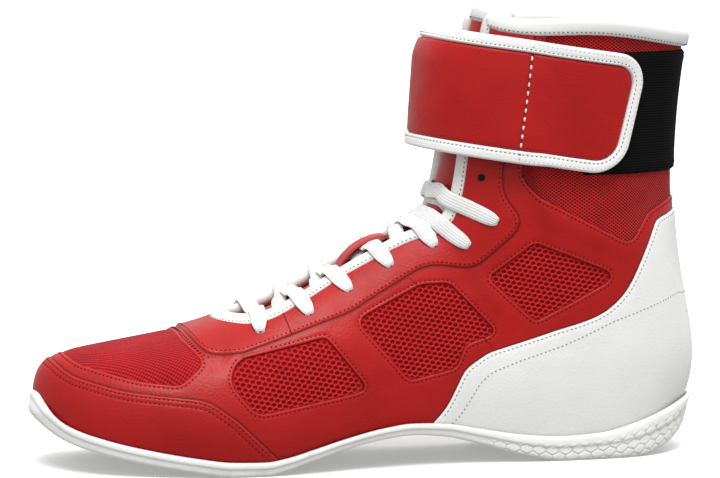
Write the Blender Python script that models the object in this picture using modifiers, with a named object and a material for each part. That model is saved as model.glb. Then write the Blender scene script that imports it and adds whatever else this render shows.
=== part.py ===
"""Left boxing boot: a cup sole, a hollow upper raised from ribs, and the pieces sewn and laced onto it.

Tables are in millimetres. The toe points to -X, the outer side of the foot is -Y.
"""
import math

import bmesh
import bpy
import numpy as np

NAME = "boxing_boot"
MM = 0.001

# Clearances and sheet thicknesses
GAP = 0.3
WALL = 2.0
INSOLE_THICK = 2.5
TONGUE_THICK = 2.5
TONGUE_LEVEL = -3.6
GUARD_THICK = 1.4
STAY_THICK = 1.4
QUARTER_THICK = 0.7
COUNTER_THICK = 1.6
ELASTIC_LEVEL = 0.7
ELASTIC_THICK = 1.2
STRAP_LEVEL = 2.6
STRAP_THICK = 2.0
STRAP_BINDING_THICK = 2.4
LACE_WIDTH = 7.0
LACE_THICK = 1.4
LACE_LEVEL = 3.8
LACE_STEP = 0.7
LACE_SAG = 5.2

# Sole: cup rim and rounded edges
RIM_THICK = 2.0
FOOT_INSET = 4.6
FOOT_LIFT = 0.6
SOLE_LENGTH = 288.0
SOLE_END = 32.0
# Wall of the sole from the ground to the cup floor: inset from the outline, share of the wall's height
SOLE_WALL = [
    {"inset": 4.0, "share": 0.00},
    {"inset": 1.2, "share": 0.15},
    {"inset": 0.6, "share": 0.52},
    {"inset": 0.0, "share": 0.58},
    {"inset": 0.0, "share": 0.90},
    {"inset": 0.7, "share": 1.00},
    {"inset": RIM_THICK, "share": 1.00},
]

# One row per rib: where it stands on the outline of each side, where it ends on the ridge or the
# collar (half is the distance from the middle line mid), how it leaves the sole (rise, flare) and how
# it arrives (crown, drop; cross is 1 where it arrives straight across). throat is half the throat.
RIB_COLUMNS = ("name lat_x lat_y med_x med_y top_x half top_z mid "
               "rise flare crown drop cross throat").split()
RIBS = [
    ("toe tip", -144, 7, -144, 7, -112, 0, 50.2, 4.0, 19, 0.5, 22, 0, 0, 19),
    ("toe side", -136, -14, -138, 26, -105, 0, 51.2, 3.5, 22, 1.0, 24, 0, 0.2, 19),
    ("toe root", -112, -35, -122, 39, -92, 0, 53.4, 2.5, 25, 2.0, 28, 0, 0.6, 19),
    ("ball", -66, -47, -80, 47.3, -66, 0, 59.8, 0.5, 30, 3.0, 34, 0, 1, 20.5),
    ("throat", -24, -44, -42, 41, -38, 0, 72.2, 0, 34, 3.0, 32, 0, 1, 18.5),
    ("waist", 14, -37, 0, 30, -12, 0, 86.0, 0, 40, 4.0, 31, 1, 1, 14.5),
    ("instep", 44, -34, 36, 28, 13, 0, 101.5, 0, 48, 5.0, 31, 2, 1, 15.5),
    ("shin low", 62, -34, 58, 31, 29, 0, 121.0, 0, 56, 5.0, 33, 2, 1, 19),
    ("shin top", 76, -34, 74, 33, 42.5, 0, 179.0, 0, 70, 4.0, 36, 8, 1, 15.5),
    ("corner", 92, -33.5, 91, 33, 57, 25, 185.5, 0, 68, 4.0, 16, 40, 0.7, 15),
    ("collar side", 116, -29.5, 116, 29.5, 90, 36.5, 185.5, 0, 60, 5.0, 0, 55, 0, 15),
    ("collar rear", 135, -18, 135, 18, 125, 25, 181.0, 0, 42, 13.5, -12, 95, 0, 15),
    ("heel back", 144, 0, 144, 0, 139.4, 0, 179.0, 0, 37, 17.0, -18, 110, 0, 15),
]
RIDGE_START = 0.3
THROAT_FRONT = -60.0
THROAT_ROUND = 17.0

# Side profile of the sole: ground side, cup floor and rim along the shoe
SOLE_COLUMNS = "x bottom floor rim".split()
SOLE = [
    (-144, 24.2, 26.2, 33.8),
    (-139, 18.8, 22.8, 28.0),
    (-131, 13.2, 17.6, 20.4),
    (-116, 8.6, 12.9, 15.2),
    (-99, 5.0, 9.2, 11.4),
    (-80, 1.8, 6.0, 8.1),
    (-66, 0.0, 4.3, 6.3),
    (-52, 0.0, 4.3, 6.0),
    (-43, 1.8, 5.9, 7.3),
    (-33, 4.8, 8.6, 9.8),
    (-17, 9.2, 12.8, 14.0),
    (0, 12.4, 16.0, 17.4),
    (12, 13.4, 16.8, 18.6),
    (26, 12.3, 16.0, 18.0),
    (43, 8.2, 13.0, 15.0),
    (61, 3.2, 9.4, 12.0),
    (78, 0.0, 7.4, 10.8),
    (95, 0.0, 7.2, 11.6),
    (112, 0.0, 7.8, 15.2),
    (126, 3.2, 10.0, 19.4),
    (137, 10.0, 14.0, 22.6),
    (144, 20.0, 22.0, 24.0),
]

# Panels in side view: corners x, z and the radius that rounds them
GUARD = [(-155, -6, 0), (-155, 49, 0), (-134, 45.8, 8), (-127, 39.6, 16), (-108, 34.6, 60),
         (-75, 31.4, 18), (-63, 23, 14), (-43, 3.5, 0), (-36, -6, 0)]
STAY = [(-79.5, 205, 0), (-79.5, 56.5, 8), (-74, 48.8, 8), (-60, 48.6, 20), (-13, 64.5, 40), (21, 83.8, 20),
        (41, 82, 12), (62, 101, 8), (52.8, 113, 12), (52.8, 125, 30), (66, 178, 0), (68, 205, 0)]
COUNTER = [(12, -6, 0), (19, 15, 8), (28, 24.5, 30), (36, 40.5, 12), (46, 47, 14), (103, 63.9, 36),
           (117, 92.4, 30), (121, 101, 5), (133, 104.5, 20), (156, 106.5, 0), (156, -6, 0)]
TOE_MESH = [(-129.5, 75, 0), (-129.5, 48, 5), (-124, 44.2, 10), (-102, 38.6, 40), (-85.5, 37, 6),
            (-75.2, 45.6, 3), (-82.5, 53.5, 5), (-82.5, 75, 0)]
FORE_WINDOW = [(-61.5, 46.8, 10), (-24.2, 55.2, 3), (-6.8, 33.4, 3), (-55, 25, 8), (-65.6, 38, 8)]
WAIST_WINDOW = [(-10.6, 61.6, 4), (18, 75.8, 12), (30, 76.2, 5), (50, 55.2, 3), (36, 50.6, 4),
                (32, 40.8, 4), (11.5, 36.6, 4)]
ANKLE_WINDOW = [(46.4, 78.4, 2), (66, 93, 5), (103, 78.2, 4), (66.6, 59.6, 4)]
SHAFT_WINDOW = [(70.5, 205, 0), (70.5, 178, 0), (60.4, 121, 6), (68, 112, 10), (108, 91.4, 5),
                (117, 104.5, 6), (130, 109.8, 20), (156, 111, 0), (156, 205, 0)]
PANEL_REACH = 90.0

# Eyelets from the toe up: side view x, z
EYELETS = [(-50.1, 57.6), (-29.6, 64.5), (-12.2, 73.7), (5.8, 83.6), (24.8, 91.6), (38.4, 92.1), (49.6, 102.3)]

# Binding of throat and collar: depth from the edge and height over the upper
BINDING_WIDTH = 4.6
BINDING_LAP = 0.8
BINDING = [(-BINDING_LAP - 1.0, -1.5), (-BINDING_LAP - 1.0, 1.8), (BINDING_WIDTH, 1.8),
           (BINDING_WIDTH, 0.7), (-BINDING_LAP, 0.7), (-BINDING_LAP, -1.5)]
BINDING_ROOM = BINDING_WIDTH + 3 * GAP
BINDING_CUT = [(-8.0, -3.0), (-8.0, 4.0), (BINDING_ROOM, 4.0), (BINDING_ROOM, -3.0)]
MITRE_LIMIT = 1.0

# Tongue: where it starts and ends along the ribs, its lap under the throat and its free top
TONGUE_FIRST = 2.7
TONGUE_LAST = 8.0
TONGUE_LAP = 6.0
TONGUE_FREE = 13.0
LOOP_FROM = -18.5
LOOP_TO = -0.5
LOOP_RISE = 8.4
LOOP_WIDTH = 12.0
LOOP_THICK = 1.2

# Ankle strap and its elastic: side view of the band, front of the loop, straight and free ends
STRAP_SLOPE = math.tan(math.radians(8.3))
STRAP_MID = 60.0
STRAP_LOW = 126.7
STRAP_HEIGHT = 51.7
STRAP_FRONT_LOW = 21.0
STRAP_FRONT_TOP = 25.0
STRAP_ROUND = 6.0
STRAP_LEAVE = 66.0
STRAP_END_LOW = 101.0
STRAP_END_TOP = 113.5
STRAP_INNER_END = 92.0
STRAP_CORNER = 14.0
STRAP_EDGE = 5.4
STRAP_HANDLES = (27.0, 23.0)
STRAP_SEWN = 0.2
STRAP_FREE = 0.7
ELASTIC_FROM = 9.6
ELASTIC_LOW = 121.3
ELASTIC_TOP = 172.6

# Mesh fineness
RIB_STEPS = [2, 3, 3, 2, 2, 2, 2, 2, 2, 2, 2, 2]
THROAT_STEPS = (0, 0.05, 0.14, 0.28, 0.5)
RIB_LEVELS = [0, 0.17, 0.38, 0.55, 0.7, 0.85, 1]
SOLE_STATION = 14.0
TONGUE_STATIONS = 13
TONGUE_ROWS = 4
LOOP_STATIONS = 11
STRAP_STATIONS = 14
STRAP_ROWS = 5
ELASTIC_STATIONS = 21
ELASTIC_ROWS = 4
ARC_STEP = math.radians(75)
CORNER_ROOM = 0.48
LACE_PIECES = 3

# Looks
COLOURS = {
    "leather_red": ((0.40, 0.022, 0.020), 0.45),
    "mesh_red": ((0.26, 0.012, 0.014), 0.7),
    "leather_white": ((0.78, 0.78, 0.76), 0.5),
    "rubber_white": ((0.70, 0.70, 0.67), 0.6),
    "elastic_black": ((0.010, 0.010, 0.011), 0.8),
    "lace_white": ((0.85, 0.85, 0.83), 0.8),
}


# Curves through the tables

def smooth_loop(values):
    """Closed cubic spline through values at 0, 1, 2 and so on."""
    values = np.array(values, float)
    count = len(values)
    ahead = np.roll(np.eye(count), 1, axis=1)
    bends = np.linalg.solve(4 * np.eye(count) + ahead + ahead.T,
                            6 * (np.roll(values, -1) - 2 * values + np.roll(values, 1)))

    def at(t):
        t = np.asarray(t, float) % count
        row = np.floor(t).astype(int)
        following = (row + 1) % count
        part = t - row
        rest = 1 - part
        cubic = (bends[row] * (rest**3 - rest) + bends[following] * (part**3 - part)) / 6
        return cubic + values[row] * rest + values[following] * part
    return at


def steady_curve(places, values):
    """Curve through values that rises and falls only where they do."""
    places = np.array(places, float)
    values = np.array(values, float)
    step = np.diff(places)
    slope = np.diff(values) / step
    tangent = np.zeros(len(places))
    tangent[0] = slope[0]
    tangent[-1] = slope[-1]
    for i in range(1, len(places) - 1):
        if slope[i - 1] * slope[i] > 0:
            before = 2 * step[i] + step[i - 1]
            after = step[i] + 2 * step[i - 1]
            tangent[i] = (before + after) / (before / slope[i - 1] + after / slope[i])

    def at(x):
        x = np.clip(np.asarray(x, float), places[0], places[-1])
        i = np.clip(np.searchsorted(places, x, side="right") - 1, 0, len(step) - 1)
        part = (x - places[i]) / step[i]
        rest = 1 - part
        ends = values[i] * (1 + 2 * part) * rest**2 + values[i + 1] * part**2 * (3 - 2 * part)
        return ends + step[i] * part * rest * (tangent[i] * rest - tangent[i + 1] * part)
    return at


def steady_loop(values):
    """The same round a closed loop, through values at 0, 1, 2 and so on."""
    count = len(values)
    lap = 3
    curve = steady_curve(range(-lap, count + lap), values[-lap:] + values + values[:lap])

    def at(t):
        return curve(np.asarray(t, float) % count)
    return at


LAST = len(RIBS) - 1
ROUND = 2 * LAST
COLUMN = {name: [row[i] for row in RIBS] for i, name in enumerate(RIB_COLUMNS)}
PROFILE = {name: [row[i] for row in SOLE] for i, name in enumerate(SOLE_COLUMNS)}


def both_sides(outer, inner=None):
    """Values toe to heel along the outer side, then back along the inner side."""
    inner = outer if inner is None else inner
    return outer + inner[-2:0:-1]


foot_x = smooth_loop(both_sides(COLUMN["lat_x"], COLUMN["med_x"]))
foot_y = smooth_loop(both_sides(COLUMN["lat_y"], COLUMN["med_y"]))
SMOOTH = "top_x top_z mid rise flare crown drop".split()
STEADY = "cross throat".split()
RIB = {name: smooth_loop(both_sides(COLUMN[name])) for name in SMOOTH}
RIB.update({name: steady_loop(both_sides(COLUMN[name])) for name in STEADY})
RIB["top_y"] = steady_loop(both_sides([mid - half for mid, half in zip(COLUMN["mid"], COLUMN["half"])],
                                      [mid + half for mid, half in zip(COLUMN["mid"], COLUMN["half"])]))
sole_bottom, cup_floor, cup_rim = (steady_curve(PROFILE["x"], PROFILE[name]) for name in SOLE_COLUMNS[1:])


# The last: a surface of ribs, t round the outline from the toe, v from the sole up

def side_of(t):
    """-1 on the outer side, 1 on the inner side."""
    return np.where(np.asarray(t, float) % ROUND <= LAST, -1.0, 1.0)


def from_toe(t):
    """How many rows a rib is from the toe, on either side."""
    t = np.asarray(t, float) % ROUND
    return np.minimum(t, ROUND - t)


def outline(t, inset):
    """Point of the sole's outline moved inwards, and the outward direction there."""
    nudge = 0.001
    along_x = foot_x(t + nudge) - foot_x(t - nudge)
    along_y = foot_y(t + nudge) - foot_y(t - nudge)
    length = np.hypot(along_x, along_y)
    out_x = along_y / length
    out_y = -along_x / length
    return foot_x(t) - out_x * inset, foot_y(t) - out_y * inset, out_x, out_y


def foot_inset(t):
    """Inset of the upper's foot, deeper where the rib leans out over the rim."""
    x = foot_x(t)
    return FOOT_INSET + RIB["flare"](t) / RIB["rise"](t) * (cup_rim(x) - cup_floor(x))


def vectors(x, y, z):
    return np.stack(np.broadcast_arrays(x, y, z), -1).astype(float)


def surface(t, v):
    """Point of the last."""
    t = np.asarray(t, float)
    v = np.asarray(v, float)[..., None]
    x, y, out_x, out_y = outline(t, foot_inset(t))
    rim_x, _, _, _ = outline(t, RIM_THICK)
    foot = vectors(x, y, np.maximum(cup_floor(x), cup_floor(rim_x)) + FOOT_LIFT)
    top = vectors(RIB["top_x"](t), RIB["top_y"](t), RIB["top_z"](t))
    low = foot + vectors(out_x, out_y, 0) * RIB["flare"](t)[..., None]
    low = low + vectors(0, 0, 1) * RIB["rise"](t)[..., None]
    cross = RIB["cross"](t)
    across_x = out_x * (1 - cross)
    across_y = out_y * (1 - cross) + side_of(t) * cross
    length = np.hypot(across_x, across_y)
    nudge = 0.001
    ridge = np.maximum(from_toe(t), RIDGE_START)
    run = RIB["top_x"](ridge + nudge) - RIB["top_x"](ridge - nudge)
    climb = RIB["top_z"](ridge + nudge) - RIB["top_z"](ridge - nudge)
    steep = np.abs(climb) >= 2 * np.abs(run)
    slope = np.where(steep, 0.0, climb / np.where(steep, 1.0, run))
    across = vectors(across_x, across_y, across_x * slope) / length[..., None]
    high = top + across * RIB["crown"](t)[..., None] - vectors(0, 0, 1) * RIB["drop"](t)[..., None]
    rest = 1 - v
    return foot * rest**3 + 3 * low * v * rest**2 + 3 * high * v**2 * rest + top * v**3


def outward(t, v):
    """Unit direction away from the last."""
    t = np.asarray(t, float)
    v = np.clip(np.asarray(v, float), 0.002, 0.998)
    nudge = 0.002
    along = surface(t + nudge, v) - surface(t - nudge, v)
    up = surface(t, v + nudge) - surface(t, v - nudge)
    normal = np.cross(along, up)
    return normal / np.linalg.norm(normal, axis=-1, keepdims=True)


def off_last(t, v, level):
    return surface(t, v) + outward(t, v) * np.asarray(level, float)[..., None]


def solve_up(t, wanted, low=0.0, high=1.0):
    """v at which a rib's measure, growing with v, reaches zero."""
    low = np.full(np.shape(t), low)
    high = np.full(np.shape(t), high)
    for _ in range(40):
        middle = (low + high) / 2
        below = wanted(surface(t, middle)) < 0
        low = np.where(below, middle, low)
        high = np.where(below, high, middle)
    return (low + high) / 2


def throat_half(t):
    """Half the throat at a rib, rounded off at its toe end."""
    reach = np.clip((RIB["top_x"](t) - THROAT_FRONT) / THROAT_ROUND, 0, 1)
    return RIB["throat"](t) * np.sqrt(1 - (1 - reach)**2)


def front_rib():
    """Rib whose ridge end is the front of the throat."""
    places = np.linspace(2, 4, 2001)
    return float(np.interp(THROAT_FRONT, RIB["top_x"](places), places))


def corner_rib():
    """Rib where the throat's edge meets the collar."""
    places = np.linspace(LAST - 4, LAST - 3, 2001)
    return float(np.interp(0, -RIB["top_y"](places) - throat_half(places), places))


def edge_height(t):
    """v where a rib meets the throat, 1 where it runs on to the ridge or the collar."""
    t = np.asarray(t, float)
    half = throat_half(t)
    found = solve_up(t, lambda p: half - np.abs(p[..., 1] - RIB["mid"](t)), low=0.3)
    whole = (from_toe(t) <= front_rib()) | (from_toe(t) >= corner_rib())
    return np.where(whole, 1.0, found)


def rib_places():
    """Ribs of the outer side, toe to heel, closer together where the throat begins."""
    places = []
    for row, steps in enumerate(RIB_STEPS):
        places.extend(row + i / steps for i in range(steps))
    front = front_rib()
    places = [t for t in places if not front - 0.2 < t < front + THROAT_STEPS[-1] + 0.05]
    places.extend(front + step for step in THROAT_STEPS)
    corner = corner_rib()
    places = [t for t in places if abs(t - corner) > 0.3]
    places.append(corner)
    places.append(LAST)
    return np.array(sorted(places))


def on_side(x, z, side):
    """t and v of the last's point at x, z on one side."""
    x = np.asarray(x, float)
    z = np.asarray(z, float)
    guess_t, guess_v = np.meshgrid(np.linspace(0.1, LAST - 0.1, 90), np.linspace(0.02, 0.98, 40))
    guess_t = guess_t.ravel() if side < 0 else ROUND - guess_t.ravel()
    guess_v = guess_v.ravel()
    seen = surface(guess_t, guess_v)
    nearest = [int(np.argmin((seen[:, 0] - a)**2 + (seen[:, 2] - b)**2)) for a, b in zip(x.flat, z.flat)]
    t = guess_t[nearest].reshape(x.shape)
    v = guess_v[nearest].reshape(x.shape)
    nudge = 0.001
    for _ in range(8):
        here = surface(t, v)
        by_t = (surface(t + nudge, v) - here) / nudge
        by_v = (surface(t, v + nudge) - here) / nudge
        miss_x = x - here[..., 0]
        miss_z = z - here[..., 2]
        area = by_t[..., 0] * by_v[..., 2] - by_t[..., 2] * by_v[..., 0]
        t = t + np.clip((miss_x * by_v[..., 2] - miss_z * by_v[..., 0]) / area, -0.2, 0.2)
        v = np.clip(v + np.clip((miss_z * by_t[..., 0] - miss_x * by_t[..., 2]) / area, -0.1, 0.1), 0, 1)
    return t, v


# Meshes

def material(name):
    found = bpy.data.materials.get(name)
    if found:
        return found
    colour, roughness = COLOURS[name]
    made = bpy.data.materials.new(name)
    made.use_nodes = True
    shader = made.node_tree.nodes["Principled BSDF"]
    shader.inputs["Base Color"].default_value = (*colour, 1.0)
    shader.inputs["Roughness"].default_value = roughness
    shader.inputs["Metallic"].default_value = 0.0
    return made


def add_object(name, points, faces, look=None):
    """Object from points in millimetres; without a look it is a cutter."""
    mesh = bpy.data.meshes.new(name)
    mesh.from_pydata([tuple(p * MM for p in point) for point in points], [], [tuple(f) for f in faces])
    work = bmesh.new()
    work.from_mesh(mesh)
    bmesh.ops.remove_doubles(work, verts=work.verts, dist=0.00001)
    bmesh.ops.recalc_face_normals(work, faces=work.faces)
    work.to_mesh(mesh)
    work.free()
    made = bpy.data.objects.new(name, mesh)
    if look is None:
        made.hide_render = True
        made.display_type = "WIRE"
        cutters.objects.link(made)
    else:
        mesh.materials.append(material(look))
        parts.objects.link(made)
    return made


def strip_faces(first, second, closed=False):
    """Triangles between two rows of point numbers."""
    count = len(first)
    faces = []
    for i in range(count if closed else count - 1):
        j = (i + 1) % count
        faces.append((first[i], first[j], second[j]))
        faces.append((first[i], second[j], second[i]))
    return faces


def grid_faces(rows, columns):
    numbers = np.arange(rows * columns).reshape(rows, columns)
    faces = []
    for first, second in zip(numbers, numbers[1:]):
        faces.extend(strip_faces(first, second))
    return faces


def ring_faces(rings, size):
    """Triangles of a closed loft: rings of points, the last joined to the first."""
    numbers = np.arange(rings * size).reshape(rings, size)
    faces = []
    for i in range(rings):
        faces.extend(strip_faces(numbers[i], numbers[(i + 1) % rings], closed=True))
    return faces


def bar_faces(rings, size):
    """Triangles of a capped loft."""
    numbers = np.arange(rings * size).reshape(rings, size)
    faces = [tuple(numbers[0]), tuple(numbers[-1][::-1])]
    for first, second in zip(numbers, numbers[1:]):
        faces.extend(strip_faces(first, second, closed=True))
    return faces


def thicken(made, thickness, level=0.0):
    """Give an open sheet its thickness; level moves it off its place first."""
    if level:
        lift = made.modifiers.new("Level", "DISPLACE")
        lift.mid_level = 0.0
        lift.strength = level * MM
    wall = made.modifiers.new("Thickness", "SOLIDIFY")
    wall.thickness = abs(thickness) * MM
    wall.offset = math.copysign(1.0, thickness)
    wall.use_even_offset = True


def cut(made, cutter, operation, solver="EXACT"):
    change = made.modifiers.new(f"{operation.title()} {cutter.name}", "BOOLEAN")
    change.operation = operation
    change.solver = solver
    change.object = cutter


def rounded(corners, grow):
    """Closed outline with its corners rounded, grown outwards by a gap."""
    places = np.array([corner[:2] for corner in corners], float)
    before = places - np.roll(places, 1, axis=0)
    after = np.roll(places, -1, axis=0) - places
    before /= np.linalg.norm(before, axis=1)[:, None]
    after_length = np.linalg.norm(after, axis=1)
    after /= after_length[:, None]
    x, z = places.T
    turn = math.copysign(1.0, np.sum(x * np.roll(z, -1) - z * np.roll(x, -1)))
    points = []
    for i, corner in enumerate(corners):
        bend = math.atan2(before[i, 0] * after[i, 1] - before[i, 1] * after[i, 0], before[i] @ after[i])
        mitre = (before[i] - after[i]) if abs(bend) > 1e-6 else np.array([after[i, 1], -after[i, 0]])
        mitre = mitre / np.linalg.norm(mitre) * (turn * math.copysign(1.0, bend) if abs(bend) > 1e-6 else turn)
        tip = places[i] + mitre * grow / math.cos(bend / 2)
        room = CORNER_ROOM * min(after_length[i - 1], after_length[i])
        reach = min(corner[2] * abs(math.tan(bend / 2)), room)
        if reach < 0.05:
            points.append(tip)
            continue
        steps = max(1, math.ceil(abs(bend) / ARC_STEP))
        for part in np.linspace(0, 1, steps + 1):
            start = tip - before[i] * reach
            end = tip + after[i] * reach
            points.append(start * (1 - part)**2 + 2 * tip * part * (1 - part) + end * part**2)
    return np.array(points)


def prism(name, corners, grow=0.0):
    """Cutter through both sides of the shoe."""
    shape = rounded(corners, grow)
    count = len(shape)
    points = [(x, y, z) for y in (-PANEL_REACH, PANEL_REACH) for x, z in shape]
    faces = [tuple(range(count)), tuple(range(count, 2 * count))]
    faces.extend((i, (i + 1) % count, count + (i + 1) % count, count + i) for i in range(count))
    return add_object(name, points, faces)


# Sole and insole: stations along the shoe, one closed loop per level

def stations():
    """Places along the sole: its table rows, filled in between and crowded at both ends."""
    places = [float(x) for x in PROFILE["x"]]
    half = SOLE_LENGTH / 2
    places.extend(side * (half - step) for side in (-1, 1) for step in (0.5, 1.6, 3.2))
    places = sorted(places)
    filled = []
    for here, following in zip(places, places[1:]):
        pieces = max(1, round((following - here) / SOLE_STATION))
        filled.extend(here + (following - here) * i / pieces for i in range(pieces))
    return np.array(filled + [half])


def level_loop(inset):
    """Loop of the outline moved in by a number or by a function of t: outer side, then inner side."""
    loop = []
    x = stations()
    for side in (-1, 1):
        t = np.linspace(0, LAST, 1500)
        t = t if side < 0 else ROUND - t
        depth = inset(t) if callable(inset) else np.full(t.shape, inset)
        seen_x, seen_y, _, _ = outline(t, depth)
        weight = np.clip((np.abs(x) - SOLE_LENGTH / 2 + SOLE_END) / SOLE_END, 0, 1)
        tip = np.where(x < 0, -seen_x[0], seen_x[-1])
        moved = np.sign(x) * (np.abs(x) - weight * (SOLE_LENGTH / 2 - tip))
        y = np.interp(moved, seen_x, seen_y)
        row = np.stack([moved, y], 1)
        loop.append(row if side < 0 else row[-2:0:-1])
    return np.concatenate(loop)


def ladder(numbers):
    """Cap of a loop: triangles from the outer side straight across to the inner side."""
    count = len(numbers)
    half = count // 2
    faces = []
    for i in range(half):
        a = numbers[i]
        b = numbers[i + 1]
        c = numbers[(count - i - 1) % count]
        d = numbers[(count - i) % count]
        if i == 0:
            faces.append((a, b, c))
        elif i == half - 1:
            faces.append((a, b, d))
        else:
            faces.append((a, b, c))
            faces.append((a, c, d))
    return faces


def stacked(name, loops, look):
    """Solid of stacked loops with a ladder cap at both ends."""
    size = len(loops[0])
    numbers = np.arange(len(loops) * size).reshape(len(loops), size)
    faces = ladder(numbers[0]) + ladder(numbers[-1])
    for first, second in zip(numbers, numbers[1:]):
        faces.extend(strip_faces(first, second, closed=True))
    return add_object(name, np.concatenate(loops), faces, look)


def raised(loop, height):
    return np.column_stack([loop, height])


def build_sole():
    loops = []
    for row in SOLE_WALL:
        loop = level_loop(row["inset"])
        x = loop[:, 0]
        low = sole_bottom(x)
        loops.append(raised(loop, low + (cup_rim(x) - low) * row["share"]))
    loop = level_loop(RIM_THICK)
    loops.append(raised(loop, cup_floor(loop[:, 0])))
    return stacked("outsole", loops, "rubber_white")


def build_insole():
    loop = level_loop(lambda t: foot_inset(t) + WALL + 2 * GAP)
    low = cup_floor(loop[:, 0]) + FOOT_LIFT
    return stacked("insole", [raised(loop, low), raised(loop, low + INSOLE_THICK)], "leather_white")


# Upper and what is sewn onto it

def upper_sheet():
    """Points and triangles of the upper's outer face, and its edge at throat and collar."""
    outer = rib_places()
    front = int(np.argmin(np.abs(outer - front_rib())))
    around = np.concatenate([outer, ROUND - outer[-2:0:-1]])
    top = edge_height(around)
    points = []
    for level in RIB_LEVELS:
        points.append(surface(around, top * level))
    size = len(around)
    numbers = np.arange(len(RIB_LEVELS) * size).reshape(len(RIB_LEVELS), size)
    for i in range(1, front + 1):
        numbers[-1, size - i] = numbers[-1, i]
    faces = []
    for first, second in zip(numbers, numbers[1:]):
        faces.extend(strip_faces(first, second, closed=True))
    edge = list(range(front, size - front))
    return np.concatenate(points), faces, around[edge], top[edge]


def build_upper():
    made = add_object("upper", SHEET_POINTS, SHEET_FACES, "mesh_red")
    thicken(made, -WALL)
    return made


def skin(name, thickness, look):
    """Layer over the whole upper, a gap away from it."""
    made = add_object(name, SHEET_POINTS, SHEET_FACES, look)
    thicken(made, thickness, GAP)
    return made


def edge_loft(name, profile, look=None):
    """Loft of a profile (depth from the edge, height) along the edge of throat and collar."""
    points = surface(EDGE_T, EDGE_V)
    normal = outward(EDGE_T, EDGE_V)
    after = np.cross(np.roll(points, -1, axis=0) - points, normal)
    after /= np.linalg.norm(after, axis=1)[:, None]
    before = np.roll(after, 1, axis=0)
    meeting = np.sum(after * before, axis=1)[:, None]
    inward = (after + before) / np.maximum(1 + meeting, MITRE_LIMIT)
    rings = [points + inward * depth + normal * height for depth, height in profile]
    return add_object(name, np.concatenate(rings), ring_faces(len(rings), len(points)), look)


def build_overlays():
    edge = edge_loft("edge_cutter", BINDING_CUT)
    guard = skin("toe_guard", GUARD_THICK, "leather_red")
    cut(guard, prism("guard_form", GUARD), "INTERSECT")
    stay = skin("eyestay", STAY_THICK, "leather_red")
    cut(stay, prism("stay_form", STAY), "INTERSECT")
    cut(stay, edge, "DIFFERENCE", "MANIFOLD")
    counter = skin("heel_counter", COUNTER_THICK, "leather_white")
    cut(counter, prism("counter_form", COUNTER), "INTERSECT")
    quarter = skin("quarter", QUARTER_THICK, "leather_red")
    neighbours = {"guard_room": GUARD, "stay_room": STAY, "counter_room": COUNTER}
    for name, corners in neighbours.items():
        cut(quarter, prism(name, corners, GAP), "DIFFERENCE")
    windows = {"toe_window": TOE_MESH, "fore_window": FORE_WINDOW, "waist_window": WAIST_WINDOW,
               "ankle_window": ANKLE_WINDOW, "shaft_window": SHAFT_WINDOW}
    for name, corners in windows.items():
        cut(quarter, prism(name, corners), "DIFFERENCE")
    cut(quarter, edge, "DIFFERENCE", "MANIFOLD")
    edge_loft("throat_binding", BINDING, "leather_white")


# Tongue and laces

def build_tongue():
    t = np.linspace(TONGUE_FIRST, TONGUE_LAST, TONGUE_STATIONS)
    half_width = RIB["throat"](t) + TONGUE_LAP
    low = solve_up(t, lambda p: half_width - np.abs(p[..., 1] - RIB["mid"](t)), low=0.3)
    rows = []
    for part in np.linspace(0, 1, TONGUE_ROWS):
        rows.append(surface(t, low + (1 - low) * part))
    for part in np.linspace(1, 0, TONGUE_ROWS)[1:]:
        rows.append(surface(ROUND - t, low + (1 - low) * part))
    lift = surface(TONGUE_LAST, 1.0) - surface(TONGUE_LAST - 0.3, 1.0)
    lift = lift / np.linalg.norm(lift) * TONGUE_FREE
    rows = [np.concatenate([row, row[-1:] + lift]) for row in rows]
    made = add_object("tongue", np.concatenate(rows), grid_faces(len(rows), len(rows[0])), "leather_red")
    thicken(made, -TONGUE_THICK, TONGUE_LEVEL)
    return made


def ridge_point(x, level):
    """Place over the ridge line at x, level off the last."""
    places = np.linspace(2, TONGUE_LAST, 3001)
    t = np.interp(x, RIB["top_x"](places), places)
    return off_last(t, np.ones(np.shape(t)), level)


def build_lace_loop():
    """Keeper on the tongue: an arch that the laces pass under."""
    part = np.linspace(0, 1, LOOP_STATIONS)
    x = LOOP_FROM + (LOOP_TO - LOOP_FROM) * part
    arch = np.sin(math.pi * part)**0.7
    level = TONGUE_LEVEL + GAP + arch * LOOP_RISE
    rings = []
    for add, side in ((0, -1), (0, 1), (LOOP_THICK, 1), (LOOP_THICK, -1)):
        row = ridge_point(x, level + add)
        row[:, 1] += side * LOOP_WIDTH / 2
        rings.append(row)
    points = np.stack(rings, 1).reshape(-1, 3)
    return add_object("lace_loop", points, bar_faces(len(part), 4), "leather_red")


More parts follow.
